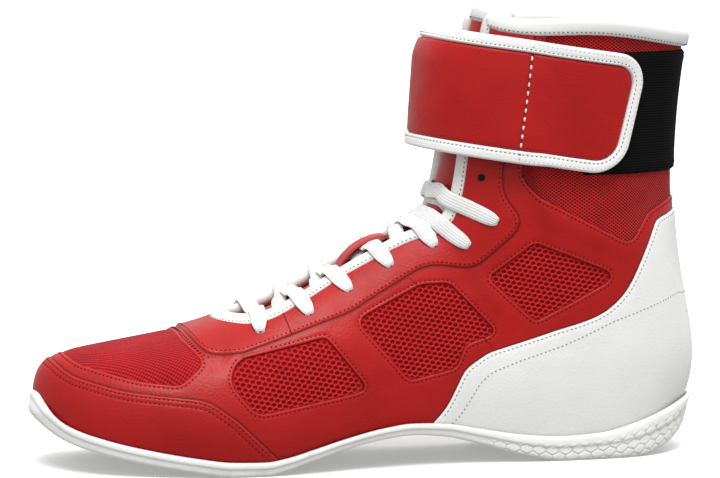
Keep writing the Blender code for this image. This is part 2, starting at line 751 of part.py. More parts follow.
def lace_bar(name, start, end, level):
    """Flat bar between an eyelet of each side: level as far as the throat's edge, then sagging into it."""
    t_start, v_start = start
    t_end, v_end = end
    middle = (t_start + t_end) / 2
    part = np.linspace(0, 1, LACE_PIECES + 1)
    dip = level - LACE_SAG * part**4
    near = off_last(t_start + (middle - t_start) * part, v_start + (1 - v_start) * part, dip)
    back = part[::-1][1:]
    far = off_last(ROUND - (t_end + (middle - t_end) * back), v_end + (1 - v_end) * back, dip[::-1][1:])
    path = np.concatenate([near, far])
    normal_near = outward(t_start + (middle - t_start) * part, v_start + (1 - v_start) * part)
    normal_far = outward(ROUND - (t_end + (middle - t_end) * back), v_end + (1 - v_end) * back)
    normal = np.concatenate([normal_near, normal_far])
    along = np.gradient(path, axis=0)
    across = np.cross(along, normal)
    across = across / np.linalg.norm(across, axis=1)[:, None] * LACE_WIDTH / 2
    ends = along / np.linalg.norm(along, axis=1)[:, None] * LACE_WIDTH / 2
    path[0] -= ends[0]
    path[-1] += ends[-1]
    rise = normal * LACE_THICK
    points = np.stack([path - across, path + across, path + across + rise, path - across + rise], 1)
    return add_object(name, points.reshape(-1, 3), bar_faces(len(path), 4),
                      "lace_white" if name == "laces" else None)


def build_laces():
    """One row of crossings: each eyelet to the next lower one of the other side, joined to one solid."""
    x, z = np.array(EYELETS, float).T
    places = list(zip(*on_side(x, z, -1)))
    made = lace_bar("laces", places[0], places[0], LACE_LEVEL)
    for i in range(1, len(places)):
        over = lace_bar(f"lace_over_{i}", places[i], places[i - 1], LACE_LEVEL + LACE_STEP)
        under = lace_bar(f"lace_under_{i}", places[i - 1], places[i], LACE_LEVEL)
        cut(made, over, "UNION")
        cut(made, under, "UNION")
    return made


# Ankle strap

def strap_rows(along, height):
    """Points of the strap's inner face: along 0 to 1 from its inner end round the front to its free end."""
    along, height = np.broadcast_arrays(np.asarray(along, float), np.asarray(height, float))
    points = np.zeros(along.shape + (3,))
    base = STRAP_LOW + height + STRAP_SLOPE * STRAP_MID

    def beside(x, side):
        t, v = on_side(x, base - STRAP_SLOPE * x, side)
        return off_last(t, v, STRAP_LEVEL)

    share = height / STRAP_HEIGHT
    end = STRAP_END_LOW + (STRAP_END_TOP - STRAP_END_LOW) * share
    inner_x = STRAP_INNER_END + (STRAP_LEAVE - STRAP_INNER_END) * np.clip(along / STRAP_SEWN, 0, 1)
    outer_x = STRAP_LEAVE + (end - STRAP_LEAVE) * np.clip((along - STRAP_FREE) / (1 - STRAP_FREE), 0, 1)
    inner = beside(inner_x, 1)
    outer = beside(outer_x, -1)
    front_x = STRAP_FRONT_LOW + (STRAP_FRONT_TOP - STRAP_FRONT_LOW) * share
    front_x = front_x + STRAP_ROUND * np.clip((share - 0.7) / 0.3, 0, 1)**2
    front = vectors(front_x, 0, base - STRAP_SLOPE * front_x)
    forward = vectors(-1, 0, STRAP_SLOPE)
    sideways = vectors(0, 1, 0)
    halfway = (STRAP_SEWN + STRAP_FREE) / 2
    for start, side, first, last in ((inner, 1, STRAP_SEWN, halfway), (outer, -1, STRAP_FREE, halfway)):
        part = np.clip((along - first) / (last - first), 0, 1)[..., None]
        rest = 1 - part
        leave = start + forward * STRAP_HANDLES[0]
        arrive = front + sideways * side * STRAP_HANDLES[1]
        bridge = start * rest**3 + 3 * leave * part * rest**2 + 3 * arrive * part**2 * rest + front * part**3
        here = (along - halfway) * side <= 0
        points = np.where(here[..., None], bridge, points)
    return points


def strap_span(edge, part):
    """Where along the strap, and between which heights, a station lies on the outline moved in by edge."""
    length = (1 - STRAP_FREE) / (STRAP_END_LOW - STRAP_LEAVE + (STRAP_END_TOP - STRAP_END_LOW) / 2)
    first = edge * STRAP_SEWN / (STRAP_INNER_END - STRAP_LEAVE)
    last = 1 - edge * length
    along = first + (last - first) * part
    radius = max(STRAP_CORNER - edge, 2.0)
    short = np.clip(radius - (last - along) / length, 0, radius)
    corner = radius - np.sqrt(radius**2 - short**2)
    return along, edge + corner, STRAP_HEIGHT - edge - corner


def build_strap():
    part = np.concatenate([np.linspace(0, 0.86, STRAP_STATIONS), [0.91, 0.95, 0.98, 1.0]])
    along, low, high = strap_span(STRAP_EDGE + GAP, part)
    rows = [strap_rows(along, low + (high - low) * share) for share in np.linspace(0, 1, STRAP_ROWS)]
    panel = add_object("strap", np.concatenate(rows), grid_faces(len(rows), len(part)), "leather_red")
    loops = []
    for edge in (0.0, STRAP_EDGE / 2, STRAP_EDGE):
        along, low, high = strap_span(edge, part)
        loops.append(np.concatenate([strap_rows(along, low), strap_rows(along, high)[::-1]]))
    numbers = np.arange(3 * len(loops[0])).reshape(3, -1)
    faces = []
    for first, second in zip(numbers, numbers[1:]):
        faces.extend(strip_faces(first, second, closed=True))
    binding = add_object("strap_binding", np.concatenate(loops), faces, "leather_white")
    for made, thickness in ((panel, STRAP_THICK), (binding, STRAP_BINDING_THICK)):
        face_out(made)
        thicken(made, thickness)


def face_out(made):
    """Turn an open sheet's faces away from the ankle's middle line."""
    mesh = made.data
    middle = np.array([(STRAP_FRONT_LOW + STRAP_END_LOW) / 2 * MM, 0, 0])
    score = 0.0
    for face in mesh.polygons:
        out = (np.array(face.center) - middle) * (1, 1, 0)
        score += float(np.dot(out, face.normal)) * face.area
    if score < 0:
        mesh.flip_normals()


def build_elastic():
    t = np.linspace(ELASTIC_FROM, ROUND - ELASTIC_FROM, ELASTIC_STATIONS)
    rows = []
    for share in np.linspace(0, 1, ELASTIC_ROWS):
        height = ELASTIC_LOW + (ELASTIC_TOP - ELASTIC_LOW) * share
        v = solve_up(t, lambda p: p[..., 2] - height)
        rows.append(off_last(t, v, ELASTIC_LEVEL))
    made = add_object("strap_elastic", np.concatenate(rows), grid_faces(len(rows), len(t)), "elastic_black")
    face_out(made)
    thicken(made, ELASTIC_THICK)
    return made


for old in list(bpy.data.objects):
    bpy.data.objects.remove(old, do_unlink=True)
parts = bpy.data.collections.new(NAME)
cutters = bpy.data.collections.new("cutters")
bpy.context.scene.collection.children.link(parts)
bpy.context.scene.collection.children.link(cutters)

SHEET_POINTS, SHEET_FACES, EDGE_T, EDGE_V = upper_sheet()
build_sole()
build_insole()
build_upper()
build_overlays()
build_tongue()
build_lace_loop()
build_laces()
build_strap()
build_elastic()
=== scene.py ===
"""Looks of the left boxing boot: leather, mesh, stitching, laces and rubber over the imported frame.

Tables are in millimetres. The toe points to -X, the outer side of the foot is -Y.
"""
import math

import bpy
import numpy as np
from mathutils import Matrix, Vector
from mathutils.bvhtree import BVHTree
from mathutils.kdtree import KDTree


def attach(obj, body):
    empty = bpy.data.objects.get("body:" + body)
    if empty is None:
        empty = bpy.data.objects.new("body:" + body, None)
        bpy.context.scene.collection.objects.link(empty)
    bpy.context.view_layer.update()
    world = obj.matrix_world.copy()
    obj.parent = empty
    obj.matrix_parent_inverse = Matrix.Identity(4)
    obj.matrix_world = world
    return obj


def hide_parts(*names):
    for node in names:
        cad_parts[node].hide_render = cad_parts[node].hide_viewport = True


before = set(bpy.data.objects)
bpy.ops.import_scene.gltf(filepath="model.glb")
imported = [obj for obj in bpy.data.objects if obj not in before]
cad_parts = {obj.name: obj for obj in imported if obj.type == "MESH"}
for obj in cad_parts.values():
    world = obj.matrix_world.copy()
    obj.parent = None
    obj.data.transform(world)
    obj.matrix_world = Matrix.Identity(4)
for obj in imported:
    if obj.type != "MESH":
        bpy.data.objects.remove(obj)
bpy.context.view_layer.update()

MM = 0.001
BODY = "root"

# Camera at the photograph's angle; the image is 720 by 478
CAMERA_AZIMUTH = -13.0
CAMERA_ELEVATION = 5.5
CAMERA_DISTANCE = 1600.0
CAMERA_TARGET = (-1.85, 0.0, 93.0)
CAMERA_LENS = 188.8
SENSOR_WIDTH = 36.0

# A wide soft ceiling from the front left, and a room that is darker below
CEILING_DIRECTION = (0.1, 0.45, -0.88)
CEILING_ANGLE = math.radians(32)
CEILING_POWER = 2.1
SKY_ABOVE = 1.35
SKY_BELOW = 0.55

# The last: the frame's own ribs, one row each, in the shoe's own sizes
RIB_COLUMNS = ("name lat_x lat_y med_x med_y top_x half top_z mid "
               "rise flare crown drop cross throat").split()
RIBS = [
    ("toe tip", -144, 7, -144, 7, -112, 0, 50.2, 4.0, 19, 0.5, 22, 0, 0, 19),
    ("toe side", -136, -14, -138, 26, -105, 0, 51.2, 3.5, 22, 1.0, 24, 0, 0.2, 19),
    ("toe root", -112, -35, -122, 39, -92, 0, 53.4, 2.5, 25, 2.0, 28, 0, 0.6, 19),
    ("ball", -66, -47, -80, 47.3, -66, 0, 59.8, 0.5, 30, 3.0, 34, 0, 1, 20.5),
    ("throat", -24, -44, -42, 41, -38, 0, 72.2, 0, 34, 3.0, 32, 0, 1, 18.5),
    ("waist", 14, -37, 0, 30, -12, 0, 86.0, 0, 40, 4.0, 31, 1, 1, 14.5),
    ("instep", 44, -34, 36, 28, 13, 0, 101.5, 0, 48, 5.0, 31, 2, 1, 15.5),
    ("shin low", 62, -34, 58, 31, 29, 0, 121.0, 0, 56, 5.0, 33, 2, 1, 19),
    ("shin top", 76, -34, 74, 33, 42.5, 0, 179.0, 0, 70, 4.0, 36, 8, 1, 15.5),
    ("corner", 92, -33.5, 91, 33, 57, 25, 185.5, 0, 68, 4.0, 16, 40, 0.7, 15),
    ("collar side", 116, -29.5, 116, 29.5, 90, 36.5, 185.5, 0, 60, 5.0, 0, 55, 0, 15),
    ("collar rear", 135, -18, 135, 18, 125, 25, 181.0, 0, 42, 13.5, -12, 95, 0, 15),
    ("heel back", 144, 0, 144, 0, 139.4, 0, 179.0, 0, 37, 17.0, -18, 110, 0, 15),
]
RIDGE_START = 0.3
THROAT_FRONT = -60.0
THROAT_ROUND = 17.0
WALL = 2.0
FOOT_INSET = 4.6
FOOT_LIFT = 0.6
RIM_THICK = 2.0
SOLE_LENGTH = 288.0
SOLE_END = 32.0
INSOLE_THICK = 2.5
GAP = 0.3

SOLE_COLUMNS = "x bottom floor rim".split()
SOLE = [
    (-144, 24.2, 26.2, 33.8),
    (-139, 18.8, 22.8, 28.0),
    (-131, 13.2, 17.6, 20.4),
    (-116, 8.6, 12.9, 15.2),
    (-99, 5.0, 9.2, 11.4),
    (-80, 1.8, 6.0, 8.1),
    (-66, 0.0, 4.3, 6.3),
    (-52, 0.0, 4.3, 6.0),
    (-43, 1.8, 5.9, 7.3),
    (-33, 4.8, 8.6, 9.8),
    (-17, 9.2, 12.8, 14.0),
    (0, 12.4, 16.0, 17.4),
    (12, 13.4, 16.8, 18.6),
    (26, 12.3, 16.0, 18.0),
    (43, 8.2, 13.0, 15.0),
    (61, 3.2, 9.4, 12.0),
    (78, 0.0, 7.4, 10.8),
    (95, 0.0, 7.2, 11.6),
    (112, 0.0, 7.8, 15.2),
    (126, 3.2, 10.0, 19.4),
    (137, 10.0, 14.0, 22.6),
    (144, 20.0, 22.0, 24.0),
]

# Side of the sole: share of its height and inset from the outline
WALL_PROFILE = [(0.0, 4.0), (0.03, 2.4), (0.09, 1.6), (0.2, 1.15), (0.36, 0.95), (0.5, 0.85), (0.54, 0.7),
                (0.58, 0.3), (0.64, 0.05), (0.74, 0.0), (0.85, 0.05), (0.92, 0.25), (0.97, 0.6), (1.0, 1.1)]
# Scales on the heel, the painted shade in their grooves, and the plain band over them
HEX_WIDE = 5.7
HEX_TALL = 6.0
HEX_HEIGHT = 0.5
HEX_GROOVE_SHADE = 0.35
HEX_SQUASH = 1.35
HEX_FROM = 40.0
HEX_FADE = 16.0
HEX_GROOVE = (0.1, 0.9)
HEX_LEVEL = 0.75
HEX_TILT = 0.05
BAND = 3.5
# Notch in front of the arch, and the toe's rim leaning back
NOTCH = -33.0
NOTCH_DEPTH = 0.7
NOTCH_HALF = 0.7
TOE_LEAN = 0.5
TOE_LEAN_FROM = 23.0
TOE_LEAN_BEHIND = -130.0

# Panels in side view: corners x, z and the radius that rounds them
PANELS = {
    "guard": [(-155, -6, 0), (-155, 49, 0), (-134, 45.8, 8), (-127, 39.6, 16), (-108, 34.6, 60),
              (-75, 31.4, 18), (-63, 23, 14), (-43, 3.5, 0), (-36, -6, 0)],
    "stay": [(-79.5, 205, 0), (-79.5, 56.5, 8), (-74, 48.8, 8), (-60, 48.6, 20), (-13, 64.5, 40),
             (21, 83.8, 20), (41, 82, 12), (62, 101, 8), (52.8, 113, 12), (52.8, 125, 30),
             (66, 178, 0), (68, 205, 0)],
    "counter": [(12, -6, 0), (19, 15, 8), (28, 24.5, 30), (36, 40.5, 12), (46, 47, 14),
                (103, 63.9, 36), (117, 92.4, 30), (121, 101, 5), (133, 104.5, 20),
                (156, 106.5, 0), (156, -6, 0)],
    "toe_mesh": [(-129.5, 75, 0), (-129.5, 48, 5), (-124, 44.2, 10), (-102, 38.6, 40),
                 (-85.5, 37, 6), (-75.2, 45.6, 3), (-82.5, 53.5, 5), (-82.5, 75, 0)],
    "fore": [(-61.5, 46.8, 10), (-24.2, 55.2, 3), (-6.8, 33.4, 3), (-55, 25, 8), (-65.6, 38, 8)],
    "waist": [(-10.6, 61.6, 4), (18, 75.8, 12), (30, 76.2, 5), (50, 55.2, 3), (36, 50.6, 4),
              (32, 40.8, 4), (11.5, 36.6, 4)],
    "ankle": [(46.4, 78.4, 2), (66, 93, 5), (103, 78.2, 4), (66.6, 59.6, 4)],
    "shaft": [(70.5, 205, 0), (70.5, 178, 0), (60.4, 121, 6), (68, 112, 10), (108, 91.4, 5),
              (117, 104.5, 6), (130, 109.8, 20), (156, 111, 0), (156, 205, 0)],
}
NET_WINDOWS = ("fore", "waist", "ankle")
WINDOWS = ("toe_mesh", *NET_WINDOWS, "shaft")

# Short seams across the panels, side view start and end
STAY_SEAM = ((-39.8, 64.0), (-38.0, 56.4))
QUARTER_SEAMS = (((11.6, 80.5), (16.6, 75.0)), ((44.0, 53.6), (48.2, 49.0)))
SEAM_HALF = 0.2

# Eyelets from the toe up, in side view, and the empty one
EYELETS = [(-50.1, 57.6), (-29.6, 64.5), (-12.2, 73.7), (5.8, 83.6), (24.8, 91.6), (38.4, 92.1),
           (49.6, 102.3)]
SPARE_EYELET = (44.9, 120.2)
# Sleeve of an eyelet: radius and level over the eyestay, down to its dark floor, which stands in for the
# shade deep in the hole
EYELET_SLEEVE = [(1.6, -0.4), (1.6, 0.15), (1.45, 0.3), (1.3, 0.3), (1.15, 0.08), (0.0, 0.08)]

# Heights over the last
LINING_LEVEL = -1.1
NET_TOP = 0.12
NET_DEPTH = 0.75
# Lattice of the net in side view, the size, roundness and squash of its holes, and its lap under the leather
NET_ALONG = (2.5, -0.5)
NET_DOWN = (0.8, -2.1)
NET_HOLE = 0.64
NET_ROUND = 0.55
NET_SQUASH = (1.08, 0.86)
NET_LIP = 0.12
NET_LAP = 1.3
NET_SINK_OVER = 1.2
MESH_LEVEL = 0.3
QUARTER_TOP = 1.05
STAY_TOP = 1.8
GUARD_TOP = 1.75
COUNTER_TOP = 1.95
UNDERSIDE = 0.15

# Creases on both sides: side view start x, z and end x, z, half width, height (a trough is negative)
CREASES = [
    (-72, 40, -66, 54, 4.0, -0.7),
    (-64, 53, -30, 60, 5.0, -0.5),
    (-22, 60, 0, 34, 6.0, 0.7),
    (-16, 52, 8, 30, 4.0, -0.5),
    (40, 78, 54, 64, 4.5, 0.8),
    (34, 80, 44, 70, 3.5, -0.6),
    (70, 106, 100, 90, 6.0, 0.7),
    (64, 100, 104, 84, 4.0, -0.4),
    (-100, 30, -60, 14, 9.0, 0.6),
    (80, 112, 126, 132, 5.0, -0.6),
    (84, 120, 128, 142, 5.0, 0.6),
    (84, 104, 122, 118, 4.0, 0.5),
]

# Binding of throat and collar: depth from the edge, height over the last; the collar is padded
BINDING = [(4.6, 0.5), (4.5, 1.35), (3.9, 1.95), (2.6, 2.2), (0.8, 2.25), (-0.7, 1.9), (-1.6, 0.9),
           (-1.9, -0.4), (-1.6, -1.7), (-0.6, -2.6), (1.2, -3.0), (3.2, -2.9), (4.2, -2.4),
           (4.3, -1.6)]
BINDING_CLIP = 3.9
BINDING_ROW = 3.7
COLLAR_STRETCH = 0.2
COLLAR_PUFF = 0.35
FRONT_STRETCH = 0.6
FRONT_REACH = 0.8

# Tongue
TONGUE_FIRST = 2.7
TONGUE_LAST = 8.0
TONGUE_LAP = 6.0
TONGUE_FREE = 13.0
TONGUE_SAG = 4.0
TONGUE_LEVEL = -3.6
TONGUE_SINK = 1.8
TONGUE_THICK = 2.5
TONGUE_GRID = (140, 61)
TONGUE_PAD = 1.2
TONGUE_SWELL = 0.5
TONGUE_RIPPLE = 0.35
TONGUE_RIPPLES = 46
TONGUE_ROUND = 2.5
# Roll over the tongue's top: rise over it and level off its middle, and the place of its stitch row
TONGUE_ROLL = [(-6.0, 1.5), (-5.6, 2.3), (-4.0, 2.8), (-1.5, 2.8), (0.6, 2.2), (1.9, 0.6), (2.2, -1.4),
               (1.4, -3.4), (-0.8, -4.6), (-4.0, -4.8), (-7.5, -4.2), (-9.0, -3.0), (-9.2, -1.6)]
TONGUE_ROW = (-4.6, 2.65)
# Keeper of the laces
LOOP_FROM = -14.0
LOOP_TO = 7.0
LOOP_RISE = 3.8
LOOP_WIDTH = 12.0
LOOP_THICK = 1.2

# Laces
LACE_WIDTH = 6.8
LACE_THICK = 1.7
LACE_ROWS = 84
LACE_OVER = -1.8
LACE_UNDER = -3.6
# Keys of a strand up to the ridge
BAR_HALF = 6
# Where each strand goes under the inner edge, in side view
LACE_FAR = [(-47, 65), (-32, 71.5), (-17, 79.5), (0, 88.5), (18, 96.5), (26, 99), (33.5, 111)]

# Ankle strap and elastic
STRAP_SLOPE = math.tan(math.radians(8.3))
STRAP_MID = 60.0
STRAP_LOW = 126.7
STRAP_HEIGHT = 51.7
STRAP_FRONT_LOW = 21.0
STRAP_FRONT_TOP = 25.0
STRAP_ROUND = 6.0
STRAP_LEAVE = 66.0
STRAP_END_LOW = 101.0
STRAP_END_TOP = 113.5
STRAP_INNER_END = 92.0
STRAP_CORNER = 14.0
STRAP_EDGE = 5.4
STRAP_ROW = 4.1
STRAP_HANDLES = (27.0, 23.0)
STRAP_LEVEL = 2.6
STRAP_SEWN = 0.2
STRAP_FREE = 0.7
STRAP_STITCH_TOP = 64.5
STRAP_STITCH_LOW = 57.5
STRAP_GRID = (171, 45)
# Strap's leather: lowest level, padding and its round edge, groove of the cross seam, underside
STRAP_BASE = 0.6
STRAP_PAD = 1.25
STRAP_PAD_ROUND = 1.6
STRAP_CROWN = 0.2
STRAP_GROOVE = 0.8
STRAP_UNDER = 0.2
# Its lining's two faces, the height of its binding and where the binding's round is divided
STRAP_LINING = (0.19, -0.05)
STRAP_BINDING_TOP = 2.4
STRAP_BINDING_SPLITS = (0.1, 0.35, 0.8, 1.5, 3.0, 4.0, 4.7, 5.1, 5.3)
CROSS_PITCH = 3.4
ELASTIC_FROM = 9.6
ELASTIC_LOW = 121.3
ELASTIC_TOP = 172.6
ELASTIC_LEVEL = 0.7
ELASTIC_THICK = 1.2
ELASTIC_GRID = (181, 49)
# Welt along the elastic's edges: depth, half width and height
WELT = (3.5, 1.2, 0.3)

# Tone of a panel's edge by depth: painted shade at its foot, and a pale lip that is partly rubbed wear and
# partly painted highlight
EDGE_DEPTH = (0.0, 0.08, 0.35, 0.8, 1.6)
EDGE_TONE = (-1.0, -1.0, 0.3, 1.0, 0.0)
EDGE_PAINTED_SHADE = 0.9
# Painted shade on leather close to the ground: its tone there, and the heights in metres between which it
# fades
LOW_SHADE = 0.8
LOW_SHADE_FADE = (0.005, 0.045)

# Panels: where their rolled edge is divided, the painted shadow line beside a neighbour, the groove under a
# row
ROLL_SPLITS = (0.1, 0.4, 1.0)
CONTACT_WIDE = 0.9
CONTACT_END = 0.85
CUT_HEIGHT = 0.12
GROOVE_SPLITS = (-0.55, 0, 0.55)
GROOVE_HALF = 0.5
GROOVE_DEPTH = 0.2
UNDER_RIM = 4.0
UNDER_LEATHER = 3.0
MESH_LAP = 2.0

# Stitches: pitch, the share of it that is thread, and half thickness
STITCH_PITCH = 1.9
STITCH_SHARE = 0.55
STITCH_HALF = 0.3
FINE_HALF = 0.26
# Form of a stitch: place along it, thickness and sink
STITCH_FORM = [(-1.0, 0.0, -0.45), (-0.72, 0.75, -0.12), (0.0, 1.0, 0.0), (0.72, 0.75, -0.12),
               (1.0, 0.0, -0.45)]
# Depth of the rows from a panel's edge, and how far they stay from another panel
QUARTER_ROW = 1.5
LEATHER_ROW = 1.4
GUARD_ROWS = (1.5, 3.4)
ROW_CLEAR = 1.2
# Second row of the counter in side view, from the sole up
COUNTER_ROW = [(29.7, 17.5), (33.4, 20.4), (37.9, 27.2), (41.9, 33.8), (46.8, 38.5), (60.4, 43.7),
               (78.3, 49.2), (100.9, 59.2), (121.5, 65.6), (133.0, 68.8)]

# Mesh fineness
FINE = (270, 72)
COARSE = (160, 38)


# Stage

def make_stage():
    """Camera, lights and floor."""
    turn = math.radians(CAMERA_AZIMUTH)
    lift = math.radians(CAMERA_ELEVATION)
    back = Vector((math.sin(turn) * math.cos(lift), -math.cos(turn) * math.cos(lift), math.sin(lift)))
    camera = bpy.data.objects.new("camera", bpy.data.cameras.new("camera"))
    camera.data.lens = CAMERA_LENS
    camera.data.sensor_width = SENSOR_WIDTH
    camera.data.clip_end = 100
    camera.location = (Vector(CAMERA_TARGET) + back * CAMERA_DISTANCE) * MM
    camera.rotation_euler = (-back).to_track_quat("-Z", "Y").to_euler()
    bpy.context.collection.objects.link(camera)
    bpy.context.scene.camera = camera
    ceiling = bpy.data.lights.new("ceiling", "SUN")
    ceiling.energy = CEILING_POWER
    ceiling.angle = CEILING_ANGLE
    holder = bpy.data.objects.new("ceiling", ceiling)
    holder.rotation_euler = Vector(CEILING_DIRECTION).to_track_quat("-Z", "Y").to_euler()
    bpy.context.collection.objects.link(holder)
    world = bpy.data.worlds.new("studio")
    world.use_nodes = True
    sky = world.node_tree.nodes["Background"]
    sky.inputs["Color"].default_value = (1, 1, 1, 1)
    direction = add(world, "ShaderNodeTexCoord").outputs["Generated"]
    height = add(world, "ShaderNodeSeparateXYZ", {"Vector": direction}).outputs["Z"]
    link(world, ramp(world, height, -0.2, 1.0, SKY_BELOW, SKY_ABOVE), sky.inputs["Strength"])
    bpy.context.scene.world = world
    bpy.context.scene.view_settings.view_transform = "Standard"
    reach = 40.0
    corners = [(-reach, -reach, 0), (reach, -reach, 0), (reach, reach, 0), (-reach, reach, 0)]
    mesh = bpy.data.meshes.new("floor")
    mesh.from_pydata(corners, [], [(0, 1, 2, 3)])
    floor = bpy.data.objects.new("floor", mesh)
    mesh.materials.append(floor_look())
    floor.visible_diffuse = False
    floor.visible_glossy = False
    bpy.context.collection.objects.link(floor)


# Materials

def new_look(name, colour, roughness, **extra):
    """Material and its shader; extra names further sockets, with _ for a space."""
    made = bpy.data.materials.new(name)
    made.use_nodes = True
    shader = made.node_tree.nodes["Principled BSDF"]
    shader.inputs["Base Color"].default_value = (*colour, 1)
    shader.inputs["Roughness"].default_value = roughness
    for key, value in extra.items():
        shader.inputs[key.replace("_", " ")].default_value = value
    return made, shader


def add(look, kind, inputs=None, **settings):
    """Node with its settings; an input is a value or another node's socket."""
    node = look.node_tree.nodes.new(kind)
    for key, value in settings.items():
        setattr(node, key, value)
    for key, value in (inputs or {}).items():
        if isinstance(value, bpy.types.NodeSocket):
            look.node_tree.links.new(value, node.inputs[key])
        else:
            node.inputs[key].default_value = value
    return node


def link(look, socket, target):
    look.node_tree.links.new(socket, target)


def places(look):
    return add(look, "ShaderNodeTexCoord").outputs["Object"]


def noise(look, scale, detail=3.0, roughness=0.55):
    return add(look, "ShaderNodeTexNoise", {"Vector": places(look), "Scale": scale, "Detail": detail,
                                            "Roughness": roughness}).outputs["Fac"]


def ramp(look, factor, low, high, first, last):
    """Factor between low and high turned into a value between first and last."""
    return add(look, "ShaderNodeMapRange", {"Value": factor, "From Min": low, "From Max": high,
                                            "To Min": first, "To Max": last}).outputs["Result"]


def math_node(look, operation, first, second=0.0):
    return add(look, "ShaderNodeMath", {0: first, 1: second}, operation=operation).outputs[0]


def times(look, first, second):
    return math_node(look, "MULTIPLY", first, second)


def plus(look, first, second):
    return math_node(look, "ADD", first, second)


def mixed(look, factor, first, second):
    """Colour between two colours."""
    node = add(look, "ShaderNodeMix", {"Factor": factor}, data_type="RGBA")
    for slot, value in ((6, first), (7, second)):
        if isinstance(value, bpy.types.NodeSocket):
            look.node_tree.links.new(value, node.inputs[slot])
        else:
            node.inputs[slot].default_value = (*value, 1)
    return node.outputs[2]


def bumped(look, shader, height, distance):
    bump = add(look, "ShaderNodeBump", {"Height": height, "Distance": distance, "Strength": 1.0})
    link(look, bump.outputs["Normal"], shader.inputs["Normal"])


def edge_wear_and_shade(look):
    """Attribute of painted edge tone: below 0 is painted shade at a panel's foot, beside the panels over it
    and in the sole's grooves and rim; 1 is a pale lip, partly rubbed wear and partly painted highlight; 0 is
    plain.
    """
    return add(look, "ShaderNodeAttribute", attribute_name="edge").outputs["Fac"]


def leather_look(name, colour, deep, pale, roughness, grain, lip_wear_and_highlight):
    """Coated leather: pebbled grain and soft cloudy colour; a paler lip on each panel, partly rubbed wear
    and partly painted highlight; painted shade at each panel's foot, beside the panels over it and close to
    the ground.
    """
    look, shader = new_look(name, colour, roughness, Coat_Weight=0.03, Coat_Roughness=0.25,
                            Specular_IOR_Level=0.22)
    cloud = noise(look, 32, 4)
    fine = noise(look, 620, 2)
    tone = mixed(look, ramp(look, cloud, 0.35, 0.68, 0, 1), deep, colour)
    # Pale lip, partly rubbed wear and partly painted highlight
    tone = mixed(look, times(look, edge_wear_and_shade(look), lip_wear_and_highlight), tone, pale)
    # Painted shade at a panel's foot and beside the panels that lie over it
    foot = [part * 0.3 for part in deep]
    tone = mixed(look, times(look, edge_wear_and_shade(look), -EDGE_PAINTED_SHADE), tone, foot)
    # Painted shade: leather darker close to the ground
    height = add(look, "ShaderNodeSeparateXYZ", {"Vector": places(look)}).outputs["Z"]
    value = ramp(look, height, *LOW_SHADE_FADE, LOW_SHADE, 1)
    shade = add(look, "ShaderNodeHueSaturation", {"Color": tone, "Value": value})
    link(look, shade.outputs["Color"], shader.inputs["Base Color"])
    pebble = add(look, "ShaderNodeTexVoronoi", {"Vector": places(look), "Scale": 1150.0, "Smoothness": 0.6},
                 feature="SMOOTH_F1").outputs["Distance"]
    pebble = times(look, pebble, 0.7)
    height = plus(look, pebble, times(look, fine, 0.6))
    height = plus(look, height, times(look, noise(look, 110, 3), 1.2))
    bumped(look, shader, height, grain * MM)
    dull = ramp(look, noise(look, 75, 3), 0.3, 0.7, roughness - 0.06, roughness + 0.1)
    link(look, dull, shader.inputs["Roughness"])
    return look


def pattern_uv(look):
    uv = add(look, "ShaderNodeUVMap", uv_map="pattern").outputs["UV"]
    split = add(look, "ShaderNodeSeparateXYZ", {"Vector": uv})
    return split.outputs["X"], split.outputs["Y"]


def waves(look, value, period):
    return math_node(look, "SINE", times(look, value, 2 * math.pi / period))


def weave_look(name, colour, deep, pitch_u, pitch_v):
    """Knitted mesh: a staggered lattice of raised loops over dark gaps."""
    look, shader = new_look(name, colour, 0.75, Sheen_Weight=0.04, Specular_IOR_Level=0.12)
    u, v = pattern_uv(look)
    lattice = times(look, waves(look, u, pitch_u), waves(look, v, pitch_v))
    tone = mixed(look, ramp(look, lattice, -0.55, 0.25, 0, 1), deep, colour)
    cloud = ramp(look, noise(look, 40, 3), 0.3, 0.7, 0.82, 1.08)
    shade = add(look, "ShaderNodeHueSaturation", {"Color": tone, "Value": cloud})
    link(look, shade.outputs["Color"], shader.inputs["Base Color"])
    bumped(look, shader, lattice, 0.32 * MM)
    return look


def cloth_look(name, colour, deep, pitch, roughness=0.85):
    """Plain knitted cloth."""
    look, shader = new_look(name, colour, roughness, Sheen_Weight=0.04, Specular_IOR_Level=0.12)
    cells = add(look, "ShaderNodeTexVoronoi", {"Vector": places(look), "Scale": 1000 / pitch})
    thread = cells.outputs["Distance"]
    cloud = noise(look, 60, 4)
    tone = mixed(look, ramp(look, plus(look, thread, cloud), 0.5, 1.3, 0, 1), deep, colour)
    link(look, tone, shader.inputs["Base Color"])
    bumped(look, shader, thread, -0.25 * MM)
    return look


def lace_look():
    """Flat woven lace: lengthwise ribs crossed by slanting threads."""
    look, shader = new_look("lace_weave", (0.86, 0.86, 0.85), 0.8, Sheen_Weight=0.05)
    u, v = pattern_uv(look)
    ribs = math_node(look, "ABSOLUTE", waves(look, u, 2.3))
    slant = plus(look, times(look, math_node(look, "ABSOLUTE", u), 0.6), v)
    threads = waves(look, slant, 0.75)
    height = plus(look, ribs, times(look, threads, 0.35))
    tone = mixed(look, ramp(look, height, -0.1, 0.7, 0, 1), (0.67, 0.67, 0.67), (0.77, 0.77, 0.765))
    link(look, tone, shader.inputs["Base Color"])
    bumped(look, shader, height, 0.13 * MM)
    return look


def elastic_look():
    """Woven elastic: fine ribs round the ankle and a faint cross thread."""
    look, shader = new_look("elastic_rib", (0.009, 0.009, 0.0095), 0.8, Specular_IOR_Level=0.06)
    u, v = pattern_uv(look)
    ribs = waves(look, v, 1.1)
    threads = waves(look, u, 0.9)
    height = plus(look, ribs, times(look, threads, 0.4))
    tone = mixed(look, ramp(look, height, -1.2, 1.2, 0, 1), (0.002, 0.002, 0.002), (0.006, 0.006, 0.006))
    link(look, tone, shader.inputs["Base Color"])
    bumped(look, shader, height, 0.1 * MM)
    return look


